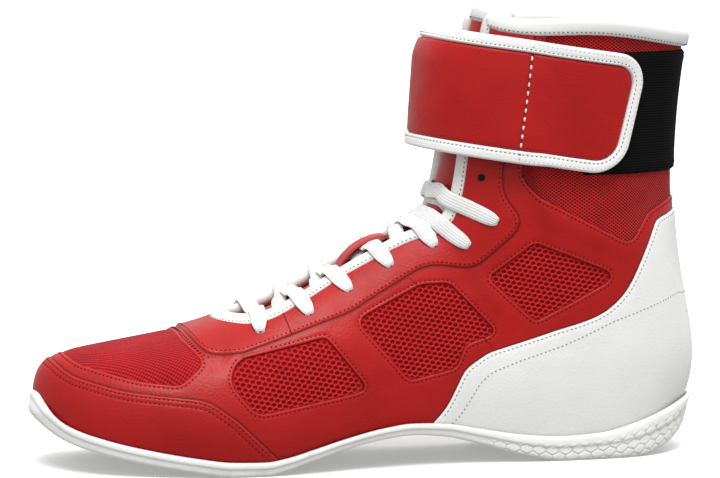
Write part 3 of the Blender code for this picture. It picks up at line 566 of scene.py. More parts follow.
def rubber_look():
    """Moulded off-white rubber with faint dirt low down, painted shade in the grooves of the heel's scales
    and along the rim's inner edge, and a dull skin.
    """
    look, shader = new_look("sole_rubber", (0.74, 0.74, 0.715), 0.55)
    cloud = noise(look, 45, 5, 0.65)
    tone = mixed(look, ramp(look, cloud, 0.35, 0.7, 0, 1), (0.77, 0.77, 0.745), (0.86, 0.86, 0.84))
    height = add(look, "ShaderNodeSeparateXYZ", {"Vector": places(look)}).outputs["Z"]
    patches = ramp(look, noise(look, 160, 4), 0.4, 0.7, 0, 0.5)
    dirt = times(look, ramp(look, height, 0.0, 0.006, 1, 0), patches)
    tone = mixed(look, dirt, tone, (0.42, 0.41, 0.39))
    # Painted shade in the scales' grooves and along the rim's inner edge
    tone = mixed(look, times(look, edge_wear_and_shade(look), -EDGE_PAINTED_SHADE), tone, (0.30, 0.30, 0.29))
    link(look, tone, shader.inputs["Base Color"])
    link(look, ramp(look, noise(look, 140, 3), 0.3, 0.7, 0.48, 0.68), shader.inputs["Roughness"])
    bumped(look, shader, noise(look, 900, 3), 0.12 * MM)
    return look


def thread_look(name, colour):
    """Twisted sewing thread."""
    look, shader = new_look(name, colour, 0.6, Specular_IOR_Level=0.1)
    tone = ramp(look, noise(look, 900, 2), 0.3, 0.7, 0.75, 1.15)
    shade = add(look, "ShaderNodeHueSaturation", {"Color": (*colour, 1), "Value": tone})
    link(look, shade.outputs["Color"], shader.inputs["Base Color"])
    bumped(look, shader, noise(look, 2600, 2), 0.1 * MM)
    return look


def floor_look():
    look, shader = new_look("studio_floor", (0.8, 0.8, 0.8), 0.9, Specular_IOR_Level=0.1)
    tone = mixed(look, noise(look, 3, 2), (0.95, 0.95, 0.95), (0.96, 0.96, 0.96))
    link(look, tone, shader.inputs["Base Color"])
    return look


# Curves through the tables

def run_length(points):
    """Length along a path, or along each of several, up to each of its points."""
    steps = np.linalg.norm(np.diff(points, axis=-2), axis=-1)
    return np.concatenate([np.zeros_like(steps[..., :1]), np.cumsum(steps, axis=-1)], axis=-1)


def path_at(stops, length, points):
    """Points of a path at lengths along it."""
    return np.stack([np.interp(stops, length, column) for column in points.T], 1)


def eased(part):
    """Share from 0 to 1 that starts and ends level."""
    return part * part * (3 - 2 * part)


def smooth_loop(values):
    """Closed cubic spline through values at 0, 1, 2 and so on."""
    values = np.array(values, float)
    count = len(values)
    ahead = np.roll(np.eye(count), 1, axis=1)
    bends = np.linalg.solve(4 * np.eye(count) + ahead + ahead.T,
                            6 * (np.roll(values, -1) - 2 * values + np.roll(values, 1)))

    def at(t):
        t = np.asarray(t, float) % count
        row = np.floor(t).astype(int)
        following = (row + 1) % count
        part = t - row
        rest = 1 - part
        cubic = (bends[row] * (rest**3 - rest) + bends[following] * (part**3 - part)) / 6
        return cubic + values[row] * rest + values[following] * part
    return at


def steady_curve(stops, values):
    """Curve through values that rises and falls only where they do."""
    stops = np.array(stops, float)
    values = np.array(values, float)
    step = np.diff(stops)
    slope = np.diff(values) / step
    tangent = np.zeros(len(stops))
    tangent[0] = slope[0]
    tangent[-1] = slope[-1]
    for i in range(1, len(stops) - 1):
        if slope[i - 1] * slope[i] > 0:
            before = 2 * step[i] + step[i - 1]
            after = step[i] + 2 * step[i - 1]
            tangent[i] = (before + after) / (before / slope[i - 1] + after / slope[i])

    def at(x):
        x = np.clip(np.asarray(x, float), stops[0], stops[-1])
        i = np.clip(np.searchsorted(stops, x, side="right") - 1, 0, len(step) - 1)
        part = (x - stops[i]) / step[i]
        rest = 1 - part
        ends = values[i] * (1 + 2 * part) * rest**2 + values[i + 1] * part**2 * (3 - 2 * part)
        return ends + step[i] * part * rest * (tangent[i] * rest - tangent[i + 1] * part)
    return at


def steady_loop(values):
    """The same round a closed loop, through values at 0, 1, 2 and so on."""
    count = len(values)
    lap = 3
    curve = steady_curve(range(-lap, count + lap), values[-lap:] + values + values[:lap])

    def at(t):
        return curve(np.asarray(t, float) % count)
    return at


LAST = len(RIBS) - 1
ROUND = 2 * LAST
COLUMN = {name: [row[i] for row in RIBS] for i, name in enumerate(RIB_COLUMNS)}
PROFILE = {name: [row[i] for row in SOLE] for i, name in enumerate(SOLE_COLUMNS)}


def both_sides(outer, inner=None):
    """Values toe to heel along the outer side, then back along the inner side."""
    inner = outer if inner is None else inner
    return outer + inner[-2:0:-1]


foot_x = smooth_loop(both_sides(COLUMN["lat_x"], COLUMN["med_x"]))
foot_y = smooth_loop(both_sides(COLUMN["lat_y"], COLUMN["med_y"]))
RIB_NAMES = "top_x top_z mid rise flare crown drop".split()
RIB = {name: smooth_loop(both_sides(COLUMN[name])) for name in RIB_NAMES}
RIB.update({name: steady_loop(both_sides(COLUMN[name])) for name in "cross throat".split()})
RIB["top_y"] = steady_loop(both_sides([mid - half for mid, half in zip(COLUMN["mid"], COLUMN["half"])],
                                      [mid + half for mid, half in zip(COLUMN["mid"], COLUMN["half"])]))
sole_bottom, cup_floor, cup_rim = (steady_curve(PROFILE["x"], PROFILE[name]) for name in SOLE_COLUMNS[1:])


# The last: a surface of ribs, t round the outline from the toe, v from the sole up

def side_of(t):
    """-1 on the outer side, 1 on the inner side."""
    return np.where(np.asarray(t, float) % ROUND <= LAST, -1.0, 1.0)


def from_toe(t):
    """How many rows a rib is from the toe, on either side."""
    t = np.asarray(t, float) % ROUND
    return np.minimum(t, ROUND - t)


def outline(t, inset):
    """Point of the sole's outline moved inwards, and the outward direction there."""
    nudge = 0.001
    along_x = foot_x(t + nudge) - foot_x(t - nudge)
    along_y = foot_y(t + nudge) - foot_y(t - nudge)
    length = np.hypot(along_x, along_y)
    out_x = along_y / length
    out_y = -along_x / length
    return foot_x(t) - out_x * inset, foot_y(t) - out_y * inset, out_x, out_y


def foot_inset(t):
    """Inset of the upper's foot, deeper where the rib leans out over the rim."""
    x = foot_x(t)
    return FOOT_INSET + RIB["flare"](t) / RIB["rise"](t) * (cup_rim(x) - cup_floor(x))


def vectors(x, y, z):
    return np.stack(np.broadcast_arrays(x, y, z), -1).astype(float)


def unit(v):
    return v / np.maximum(np.linalg.norm(v, axis=-1, keepdims=True), 1e-9)


def surface(t, v):
    """Point of the last."""
    t = np.asarray(t, float)
    v = np.asarray(v, float)[..., None]
    x, y, out_x, out_y = outline(t, foot_inset(t))
    rim_x, _, _, _ = outline(t, RIM_THICK)
    foot = vectors(x, y, np.maximum(cup_floor(x), cup_floor(rim_x)) + FOOT_LIFT)
    top = vectors(RIB["top_x"](t), RIB["top_y"](t), RIB["top_z"](t))
    low = foot + vectors(out_x, out_y, 0) * RIB["flare"](t)[..., None]
    low = low + vectors(0, 0, 1) * RIB["rise"](t)[..., None]
    cross = RIB["cross"](t)
    across_x = out_x * (1 - cross)
    across_y = out_y * (1 - cross) + side_of(t) * cross
    length = np.hypot(across_x, across_y)
    nudge = 0.001
    ridge = np.maximum(from_toe(t), RIDGE_START)
    run = RIB["top_x"](ridge + nudge) - RIB["top_x"](ridge - nudge)
    climb = RIB["top_z"](ridge + nudge) - RIB["top_z"](ridge - nudge)
    steep = np.abs(climb) >= 2 * np.abs(run)
    slope = np.where(steep, 0.0, climb / np.where(steep, 1.0, run))
    across = vectors(across_x, across_y, across_x * slope) / length[..., None]
    high = top + across * RIB["crown"](t)[..., None] - vectors(0, 0, 1) * RIB["drop"](t)[..., None]
    rest = 1 - v
    return foot * rest**3 + 3 * low * v * rest**2 + 3 * high * v**2 * rest + top * v**3


def outward(t, v):
    """Unit direction away from the last."""
    t = np.asarray(t, float)
    v = np.clip(np.asarray(v, float), 0.002, 0.998)
    nudge = 0.002
    along = surface(t + nudge, v) - surface(t - nudge, v)
    up = surface(t, v + nudge) - surface(t, v - nudge)
    return unit(np.cross(along, up))


def off_last(t, v, level):
    return surface(t, v) + outward(t, v) * np.asarray(level, float)[..., None]


def solve_up(t, wanted, low=0.0):
    """v at which a rib's measure, growing with v, reaches zero."""
    low = np.full(np.shape(t), low)
    high = np.ones(np.shape(t))
    for _ in range(40):
        middle = (low + high) / 2
        below = wanted(surface(t, middle)) < 0
        low = np.where(below, middle, low)
        high = np.where(below, high, middle)
    return (low + high) / 2


def throat_half(t):
    """Half the throat at a rib, rounded off at its toe end."""
    reach = np.clip((RIB["top_x"](t) - THROAT_FRONT) / THROAT_ROUND, 0, 1)
    return RIB["throat"](t) * np.sqrt(1 - (1 - reach)**2)


def front_rib():
    """Rib whose ridge end is the front of the throat."""
    stops = np.linspace(2, 4, 2001)
    return float(np.interp(THROAT_FRONT, RIB["top_x"](stops), stops))


def corner_rib():
    """Rib where the throat's edge meets the collar."""
    stops = np.linspace(LAST - 4, LAST - 3, 2001)
    return float(np.interp(0, -RIB["top_y"](stops) - throat_half(stops), stops))


def edge_height(t):
    """v where a rib meets the throat, 1 where it runs on to the ridge or the collar."""
    t = np.asarray(t, float)
    half = throat_half(t)
    found = solve_up(t, lambda p: half - np.abs(p[..., 1] - RIB["mid"](t)), low=0.3)
    whole = (from_toe(t) <= front_rib()) | (from_toe(t) >= corner_rib())
    return np.where(whole, 1.0, found)


def on_side(x, z, side):
    """t and v of the last's point at x, z on one side."""
    x = np.asarray(x, float)
    z = np.asarray(z, float)
    guess_t, guess_v = np.meshgrid(np.linspace(0.1, LAST - 0.1, 90), np.linspace(0.02, 0.98, 40))
    guess_t = guess_t.ravel() if side < 0 else ROUND - guess_t.ravel()
    guess_v = guess_v.ravel()
    seen = surface(guess_t, guess_v)
    nearest = [int(np.argmin((seen[:, 0] - a)**2 + (seen[:, 2] - b)**2)) for a, b in zip(x.flat, z.flat)]
    t = guess_t[nearest].reshape(x.shape)
    v = guess_v[nearest].reshape(x.shape)
    nudge = 0.001
    for _ in range(8):
        here = surface(t, v)
        by_t = (surface(t + nudge, v) - here) / nudge
        by_v = (surface(t, v + nudge) - here) / nudge
        miss_x = x - here[..., 0]
        miss_z = z - here[..., 2]
        area = by_t[..., 0] * by_v[..., 2] - by_t[..., 2] * by_v[..., 0]
        t = t + np.clip((miss_x * by_v[..., 2] - miss_z * by_v[..., 0]) / area, -0.2, 0.2)
        v = np.clip(v + np.clip((miss_z * by_t[..., 0] - miss_x * by_t[..., 2]) / area, -0.1, 0.1), 0, 1)
    return t, v


# Outlines in side view

def rounded(corners):
    """Closed outline with its corners rounded."""
    spots = np.array([corner[:2] for corner in corners], float)
    before = spots - np.roll(spots, 1, axis=0)
    after = np.roll(spots, -1, axis=0) - spots
    length = np.linalg.norm(after, axis=1)
    before = unit(before)
    after = unit(after)
    points = []
    for i, corner in enumerate(corners):
        bend = math.atan2(before[i, 0] * after[i, 1] - before[i, 1] * after[i, 0], before[i] @ after[i])
        room = 0.48 * min(length[i - 1], length[i])
        reach = min(corner[2] * abs(math.tan(bend / 2)), room)
        if reach < 0.05:
            points.append(spots[i])
            continue
        steps = max(2, math.ceil(abs(bend) / math.radians(8)))
        for part in np.linspace(0, 1, steps + 1):
            start = spots[i] - before[i] * reach
            end = spots[i] + after[i] * reach
            points.append(start * (1 - part)**2 + 2 * spots[i] * part * (1 - part) + end * part**2)
    return np.array(points)


def segment_distance(x, z, start, end):
    """Distance of side-view points from a segment, and how far along it they lie."""
    run_x = end[0] - start[0]
    run_z = end[1] - start[1]
    part = np.clip(((x - start[0]) * run_x + (z - start[1]) * run_z) / (run_x**2 + run_z**2), 0, 1)
    return np.hypot(x - start[0] - part * run_x, z - start[1] - part * run_z), part


def signed_distance(x, z, corners):
    """Distance of side-view points from a panel's outline, negative inside it."""
    shape = rounded(corners)
    nearest = np.full(x.shape, 1e9)
    inside = np.zeros(x.shape, bool)
    for start, end in zip(shape, np.roll(shape, -1, axis=0)):
        if np.hypot(*(end - start)) < 1e-9:
            continue
        distance, _ = segment_distance(x, z, start, end)
        nearest = np.minimum(nearest, distance)
        spans = (start[1] > z) != (end[1] > z)
        rise = end[1] - start[1] if end[1] != start[1] else 1.0
        inside ^= spans & (x < start[0] + (z - start[1]) / rise * (end[0] - start[0]))
    return np.where(inside, -nearest, nearest)


# Sheets: rows of numbers per point, triangles, and a name for each column

TOUCH = 1e-4


def strip_faces(first, second, closed=False):
    """Triangles between two rows of point numbers."""
    first = np.asarray(first)
    second = np.asarray(second)
    if closed:
        first = np.append(first, first[0])
        second = np.append(second, second[0])
    one = np.stack([first[:-1], first[1:], second[1:]], 1)
    two = np.stack([first[:-1], second[1:], second[:-1]], 1)
    return np.concatenate([one, two])


def grid_faces(rows, columns, closed=False):
    numbers = np.arange(rows * columns).reshape(rows, columns)
    return np.concatenate([strip_faces(a, b, closed) for a, b in zip(numbers, numbers[1:])])


def repeated(pattern, copies):
    """Triangles of one mesh again for each of several equal ones that follow one another."""
    size = pattern.max() + 1
    return (pattern + size * np.arange(copies)[:, None, None]).reshape(-1, 3)


def capped_tube(rows, columns, turned=False):
    """Triangles of rings in a row, with a fan over each end."""
    faces = [grid_faces(rows, columns, closed=True)]
    for first, flip in ((0, turned), ((rows - 1) * columns, not turned)):
        row = first + np.arange(columns)
        fan = np.stack([np.full(columns - 2, first), row[1:-1], row[2:]], 1)
        faces.append(fan[:, ::-1] if flip else fan)
    return np.concatenate(faces)


def point_normals(points, faces):
    """Smooth normals of a triangle mesh."""
    corners = points[faces]
    flat = np.cross(corners[:, 1] - corners[:, 0], corners[:, 2] - corners[:, 0])
    total = np.zeros(points.shape)
    for i in range(3):
        np.add.at(total, faces[:, i], flat)
    return unit(total)


class Sheet:
    """Open triangle sheet whose points carry named numbers that are split along with it."""

    def __init__(self, data, faces, names):
        self.data = data
        self.faces = faces
        self.names = list(names)

    def __getitem__(self, name):
        return self.data[:, self.names.index(name)]

    @property
    def points(self):
        return self.data[:, 0:3]

    @property
    def normals(self):
        return unit(self.data[:, 3:6])

    def with_field(self, name, values):
        return Sheet(np.column_stack([self.data, values]), self.faces, self.names + [name])

    def cuts(self, name, level):
        """Where a level of a number cuts the triangles: how many corners of each lie below it, the corners
        of the cut ones from the lone one on, whether that one is below, the points of the cuts, and their
        numbers on both edges of the lone corner."""
        over = self[name] - level
        over = np.where(np.abs(over) < TOUCH, -TOUCH, over)
        below = over < 0
        count = below[self.faces].sum(1)
        partly = (count == 1) | (count == 2)
        crossed = self.faces[partly]
        single = count[partly] == 1
        lone = np.where(single, np.argmax(below[crossed], 1), np.argmin(below[crossed], 1))
        rows = np.arange(len(crossed))
        a, b, c = (crossed[rows, (lone + turn) % 3] for turn in range(3))
        pairs = np.sort(np.concatenate([np.stack([a, b], 1), np.stack([a, c], 1)]), axis=1)
        pairs, which = np.unique(pairs, axis=0, return_inverse=True)
        first, second = pairs.T
        share = (over[first] / (over[first] - over[second]))[:, None]
        made = self.data[first] * (1 - share) + self.data[second] * share
        return count, (a, b, c), single, made, np.split(which.ravel(), 2)

    def split(self, name, level, keep="both"):
        """Split the triangles along a level of a number; keep what is below it, or both sides."""
        count, (a, b, c), single, made, (ab, ac) = self.cuts(name, level)
        made[:, self.names.index(name)] = level
        ab = ab + len(self.data)
        ac = ac + len(self.data)
        tips = np.stack([a, ab, ac], 1)
        rests = np.concatenate([np.stack([ab, b, c], 1), np.stack([ab, c, ac], 1)])
        if keep == "both":
            kept = [self.faces[count == 3], self.faces[count == 0], tips, rests]
        else:
            kept = [self.faces[count == 3], tips[single], rests[~np.tile(single, 2)]]
        return Sheet(np.concatenate([self.data, made]), np.concatenate(kept), self.names).compact()

    def compact(self):
        used = np.unique(self.faces)
        number = np.full(len(self.data), -1)
        number[used] = np.arange(len(used))
        return Sheet(self.data[used], number[self.faces], self.names)

    def lines(self, name, level):
        """Chains of points where a number has a level."""
        _, _, _, made, (ab, ac) = self.cuts(name, level)
        neighbours = {}
        for i, j in zip(ab.tolist(), ac.tolist()):
            neighbours.setdefault(i, []).append(j)
            neighbours.setdefault(j, []).append(i)
        return [made[chain] for chain in chains(neighbours)]

    def slab(self, lift, under):
        """Closed mesh between two heights over the sheet."""
        top = self.points + self.normals * np.reshape(lift, (-1, 1))
        return solid(top, self.points + self.normals * under, self.faces)


def chains(neighbours):
    """Walk links into chains, open ones from their ends first."""
    left = set(neighbours)
    found = []
    starts = [k for k, near in neighbours.items() if len(near) == 1] + list(neighbours)
    for start in starts:
        if start not in left:
            continue
        chain = [start]
        left.discard(start)
        while True:
            following = [k for k in neighbours[chain[-1]] if k in left]
            if not following:
                break
            chain.append(following[0])
            left.discard(following[0])
        if len(chain) > 2 and chain[0] in neighbours[chain[-1]]:
            chain.append(chain[0])
        found.append(chain)
    return found


def solid(top, under, faces):
    """Closed mesh between two sheets of the same triangles, walled along their open edges."""
    size = len(top)
    edges = np.concatenate([faces[:, [0, 1]], faces[:, [1, 2]], faces[:, [2, 0]]])
    key = np.sort(edges, axis=1)
    key = key[:, 0] * size + key[:, 1]
    _, first, count = np.unique(key, return_index=True, return_counts=True)
    rim = edges[first[count == 1]]
    walls = np.concatenate([np.stack([rim[:, 1], rim[:, 0], rim[:, 0] + size], 1),
                            np.stack([rim[:, 1], rim[:, 0] + size, rim[:, 1] + size], 1)])
    return np.concatenate([top, under]), np.concatenate([faces, faces[:, ::-1] + size, walls])


# Pieces

def make_piece(name, points, faces, look, slot, nodes=(), uv=None, edge=None):
    """Object of the scene from points in millimetres, riding on the boot."""
    mesh = bpy.data.meshes.new(name)
    mesh.from_pydata((np.asarray(points) * MM).tolist(), [], np.asarray(faces).tolist())
    mesh.polygons.foreach_set("use_smooth", np.ones(len(mesh.polygons), bool))
    if uv is not None:
        layer = mesh.uv_layers.new(name="pattern")
        corner = np.zeros(len(mesh.loops), int)
        mesh.loops.foreach_get("vertex_index", corner)
        layer.data.foreach_set("uv", np.asarray(uv, float)[corner].ravel())
    if edge is not None:
        tone = np.broadcast_to(edge, len(points)).astype(float)
        mesh.attributes.new("edge", "FLOAT", "POINT").data.foreach_set("value", tone)
    mesh.materials.append(look)
    mesh.update()
    made = bpy.data.objects.new(name, mesh)
    bpy.context.collection.objects.link(made)
    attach(made, BODY)
    if nodes:
        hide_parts(*nodes)
    return made


def rolled(depth, height, roll):
    """Height of a cut edge that rolls over within roll of its outline."""
    part = 1 - np.clip(depth / roll, 0, 1)
    return height * np.sqrt(1 - part**2)


def relief(x, z):
    """Soft creases and swellings of the upper."""
    total = np.zeros(x.shape)
    for start_x, start_z, end_x, end_z, width, height in CREASES:
        distance, part = segment_distance(x, z, (start_x, start_z), (end_x, end_z))
        fade = np.clip(4 * part, 0.25, 1) * np.clip(4 * (1 - part), 0.25, 1)
        total += height * fade * np.exp(-(distance / width)**2)
    return total


def rib_columns(count):
    """Ribs of the outer side evenly spaced along the foot, crowded where the throat begins."""
    t = np.linspace(0, LAST, 4001)
    path = surface(t, np.full(t.shape, 0.45))
    length = run_length(path)
    even = np.interp(np.linspace(0, length[-1], count // 2), length, t)
    front = front_rib()
    spread = 0.45
    even = even[(even < front - 0.01) | (even > front + spread)]
    crowd = front + spread * np.linspace(0, 1, 26)**2
    corner = corner_rib()
    even = even[np.abs(even - corner) > 0.008]
    return np.unique(np.concatenate([even, crowd, [corner]]))


def edge_loop():
    """Points of the throat's and collar's edge, evenly spaced, its corners eased, and their frames."""
    outer = rib_columns(1200)
    outer = outer[outer >= front_rib()]
    around = np.concatenate([outer, ROUND - outer[-2:0:-1]])
    raw = surface(around, edge_height(around))
    closed = np.concatenate([raw, raw[:1]])
    length = run_length(closed)
    turns = np.append(around, ROUND - around[0])
    stops = np.linspace(0, length[-1], 481)[:-1]
    points = path_at(stops, length, closed)
    t = np.interp(stops, length, turns)
    for _ in range(7):
        points = (np.roll(points, 1, axis=0) + 2 * points + np.roll(points, -1, axis=0)) / 4
    normal = outward(t, edge_height(t))
    for _ in range(8):
        normal = unit(np.roll(normal, 1, axis=0) + 2 * normal + np.roll(normal, -1, axis=0))
    along = np.roll(points, -1, axis=0) - np.roll(points, 1, axis=0)
    inward = unit(np.cross(along, normal))
    normal = unit(np.cross(inward, along))
    return points, normal, inward, t


def collar_share(t):
    """0 along the throat, 1 along the padded collar."""
    return eased(np.clip((from_toe(t) - corner_rib() + 0.12) / 0.5, 0, 1))


def make_skin(size):
    """Outer face of the upper with its creases, and the distances that cut it into panels."""
    columns, levels = size
    outer = rib_columns(columns)
    front = int(np.argmin(np.abs(outer - front_rib())))
    around = np.concatenate([outer, ROUND - outer[-2:0:-1]])
    top = edge_height(around)
    count = len(around)
    share = np.linspace(0, 1, levels)[:, None]
    t = np.broadcast_to(around, (levels, count))
    v = top * share
    points = surface(t, v)
    normals = outward(t, v)
    girth = run_length(points)
    girth = girth - girth[:, [int(np.argmin(np.abs(around - LAST)))]]
    numbers = np.arange(levels * count).reshape(levels, count)
    for i in range(1, front + 1):
        numbers[-1, count - i] = numbers[-1, i]
    faces = np.concatenate([strip_faces(a, b, closed=True) for a, b in zip(numbers, numbers[1:])])
    flat = points.reshape(-1, 3)
    x, z = flat[:, 0], flat[:, 2]
    flat_normals = normals.reshape(-1, 3)
    flat = flat + flat_normals * relief(x, z)[:, None]
    data = np.column_stack([flat, flat_normals, girth.ravel(), x, z])
    skin = Sheet(data, faces, "x y z nx ny nz girth px pz".split()).compact()
    for name, corners in PANELS.items():
        skin = skin.with_field(name, signed_distance(skin["px"], skin["pz"], corners))
    skin = skin.with_field("edge", edge_distance(skin.points))
    return skin.with_field("over_rim", skin["pz"] - cup_rim(skin["px"]))


def eyelet_places():
    """Rib and height of every eyelet, both sides."""
    x, z = np.array(EYELETS + [SPARE_EYELET], float).T
    found = []
    for side in (-1, 1):
        found.extend(zip(*on_side(x, z, side)))
    return found


def build_eyelets():
    """Black sleeves through the eyestay, each closed by a black floor that stands in for the shade deep in
    its hole.
    """
    angle = np.linspace(0, 2 * math.pi, 21)[:-1]
    points = []
    spots = eyelet_places()
    for t, v in spots:
        centre = surface(t, v)
        out = outward(t, v)
        first = unit(np.cross(out, (0.0, 0.0, 1.0)))
        second = np.cross(out, first)
        for radius, level in EYELET_SLEEVE:
            ring = np.outer(np.cos(angle), first) + np.outer(np.sin(angle), second)
            points.append(centre + ring * radius + out * (STAY_TOP + level))
    faces = repeated(grid_faces(len(EYELET_SLEEVE), len(angle), closed=True), len(spots))
    make_piece("eyelet_sleeves", np.concatenate(points), faces, SLEEVE, "elastic_black")


def edge_distance(points):
    """Distance from the edge of throat and collar, negative beyond it."""
    tree = KDTree(len(EDGE_POINTS))
    for i, point in enumerate(EDGE_POINTS):
        tree.insert(point, i)
    tree.balance()
    result = np.zeros(len(points))
    for i, point in enumerate(points):
        _, number, distance = tree.find(point)
        inside = float(np.dot(point - EDGE_POINTS[number], EDGE_INWARD[number]))
        result[i] = inside if distance < 12 else distance
    return result


def make_panel(name, field, height, look, slot, nodes, roll=1.1, rows=(), under=UNDERSIDE, uv=None,
               contact=None, tuck=0.0):
    """Panel cut from the skin where field is negative, with rolled edges, a groove under each stitch row
    and a painted shadow line where it runs under its neighbours."""
    sheet = SKIN.with_field("field", field)
    if contact is not None:
        sheet = sheet.with_field("contact", contact)
        sheet = sheet.with_field("tucked", -contact - tuck).split("tucked", 0.0, keep="below")
    sheet = sheet.split("field", 0.0, keep="below")
    for part in ROLL_SPLITS:
        sheet = sheet.split("field", -part * roll)
    if contact is not None:
        for step in (0.0, CONTACT_WIDE):
            sheet = sheet.split("contact", step)
    for row in rows:
        for side in GROOVE_SPLITS:
            sheet = sheet.split("field", -row + side)
    depth = -sheet["field"]
    lift = under + CUT_HEIGHT + rolled(depth, height - under - CUT_HEIGHT, roll)
    for row in rows:
        lift = lift - GROOVE_DEPTH * np.exp(-((depth - row) / GROOVE_HALF)**2)
    # Painted shade at the foot of the edge, and a pale lip that is partly rubbed wear and partly painted
    # highlight
    edge = np.interp(depth, EDGE_DEPTH, EDGE_TONE)
    # Painted shadow where the panel runs under its neighbours
    if contact is not None:
        shade = np.clip(sheet["contact"] / CONTACT_WIDE, 0, 1) - 1
        edge = np.where(sheet["contact"] < CONTACT_END, shade, edge)
    if uv is not None:
        uv = np.tile(np.stack([sheet[uv[0]], sheet[uv[1]]], 1), (2, 1))
    make_piece(name, *sheet.slab(lift, under), look, slot, nodes, uv=uv, edge=np.tile(edge, 2))


def seam_paths(seams, level):
    """Short seams on both sides, as paths of points and normals."""
    paths = []
    for start, end in seams:
        x, z = np.linspace(start, end, 9).T
        for side in (-1, 1):
            t, v = on_side(x, z, side)
            paths.append((off_last(t, v, level), outward(t, v)))
    return paths


def build_panels():
    skin = SKIN
    trimmed = BINDING_CLIP - skin["edge"]
    low = -skin["over_rim"] - UNDER_RIM
    build_base()
    windows = np.minimum.reduce([skin[name] for name in WINDOWS])
    covered = np.minimum.reduce([skin[name] for name in ("guard", "stay", "counter")])
    quarter = np.maximum.reduce([-windows, trimmed, low])
    make_panel("quarter_leather", quarter, QUARTER_TOP, RED_LEATHER, "leather_red", ["quarter"], roll=0.9,
               rows=(QUARTER_ROW,), contact=covered, tuck=UNDER_LEATHER)
    stay = np.maximum(skin["stay"], trimmed)
    make_panel("eyestay_leather", stay, STAY_TOP, RED_LEATHER, "leather_red", ["eyestay"])
    guard = np.maximum(skin["guard"], low)
    make_panel("toe_guard_leather", guard, GUARD_TOP, RED_LEATHER, "leather_red", ["toe_guard"],
               rows=GUARD_ROWS)
    counter = np.maximum(skin["counter"], low)
    make_panel("heel_counter_leather", counter, COUNTER_TOP, WHITE_LEATHER, "leather_white",
               ["heel_counter"], roll=1.3, rows=(LEATHER_ROW,))
    make_panel("toe_mesh_weave", skin["toe_mesh"] - MESH_LAP, MESH_LEVEL + 0.5, TOE_WEAVE, "mesh_red", (),
               roll=7.0, under=-0.1, uv=("px", "y"))
    shaft = np.maximum(skin["shaft"] - MESH_LAP, 1.0 - skin["edge"])
    make_panel("shaft_mesh_weave", shaft, MESH_LEVEL, SHAFT_WEAVE, "mesh_red", (), roll=4.0,
               under=-0.1, uv=("girth", "pz"))


def build_base():
    """Backing of the whole upper, sunk behind the open nets, and the lining inside it."""
    skin = BACKING
    sheet = skin.with_field("field", 0.3 - skin["edge"]).split("field", 0.0, keep="below")
    nets = np.minimum.reduce([sheet[name] for name in NET_WINDOWS])
    sheet = sheet.with_field("nets", nets).split("nets", 0.0).split("nets", -NET_SINK_OVER)
    sink = -NET_DEPTH * np.clip(-sheet["nets"] / NET_SINK_OVER, 0, 1)
    make_piece("upper_backing", *sheet.slab(sink, LINING_LEVEL + 0.1), BACKING_CLOTH, "mesh_red", ["upper"])
    make_piece("upper_lining", *sheet.slab(LINING_LEVEL, -WALL), LINING_CLOTH, "lining")


def build_nets():
    """Open net in the three windows of each side: one rounded hole per lattice cell."""
    along = np.array(NET_ALONG)
    down = np.array(NET_DOWN)
    corners = [(along + down) / 3, (2 * down - along) / 3, (down - 2 * along) / 3]
    corners = np.array(corners + [-c for c in corners])
    ring = np.empty((12, 2))
    ring[0::2] = corners
    ring[1::2] = (corners + np.roll(corners, -1, axis=0)) / 2
    radius = np.linalg.norm(ring, axis=1, keepdims=True)
    hole = (1 - NET_ROUND) * ring + NET_ROUND * ring / radius * radius.mean()
    hole = NET_HOLE * hole * np.array(NET_SQUASH)
    tree = BVHTree.FromPolygons(BACKING.points.tolist(), BACKING.faces.tolist())
    smooth = BACKING.normals
    pattern = grid_faces(3, len(ring), closed=True)
    points, faces = [], []
    for name in NET_WINDOWS:
        shape = np.array([corner[:2] for corner in PANELS[name]], float)
        middle = shape.mean(0)
        reach = 24
        i, j = np.meshgrid(np.arange(-reach, reach + 1), np.arange(-reach, reach + 1))
        cells = middle + i.reshape(-1, 1) * along + j.reshape(-1, 1) * down
        cells = cells[signed_distance(cells[:, 0], cells[:, 1], PANELS[name]) < NET_LAP]
        for side in (-1, 1):
            for cell in cells:
                rings = [(cell + ring, NET_TOP), (cell + hole * 1.16, NET_TOP - NET_LIP),
                         (cell + hole, NET_TOP - NET_DEPTH * 0.8)]
                flat = np.concatenate([place for place, _ in rings])
                level = np.repeat([height for _, height in rings], len(ring))
                made = cast(tree, smooth, flat, side, level)
                if made is None:
                    continue
                faces.append(pattern[:, ::side] + len(points) * len(made))
                points.append(made)
    make_piece("window_net", np.concatenate(points), np.concatenate(faces), NET_CORD, "mesh_red")


def cast(tree, smooth, flat, side, level):
    """Side-view points carried onto the skin along Y and lifted off it."""
    made = np.zeros((len(flat), 3))
    direction = Vector((0, -side, 0))
    for k, (x, z) in enumerate(flat):
        place, _, number, _ = tree.ray_cast(Vector((x, side * 200.0, z)), direction)
        if place is None:
            return None
        normal = unit(smooth[BACKING.faces[number]].sum(0))
        made[k] = np.array(place) + normal * level[k]
    return made


# Stitches

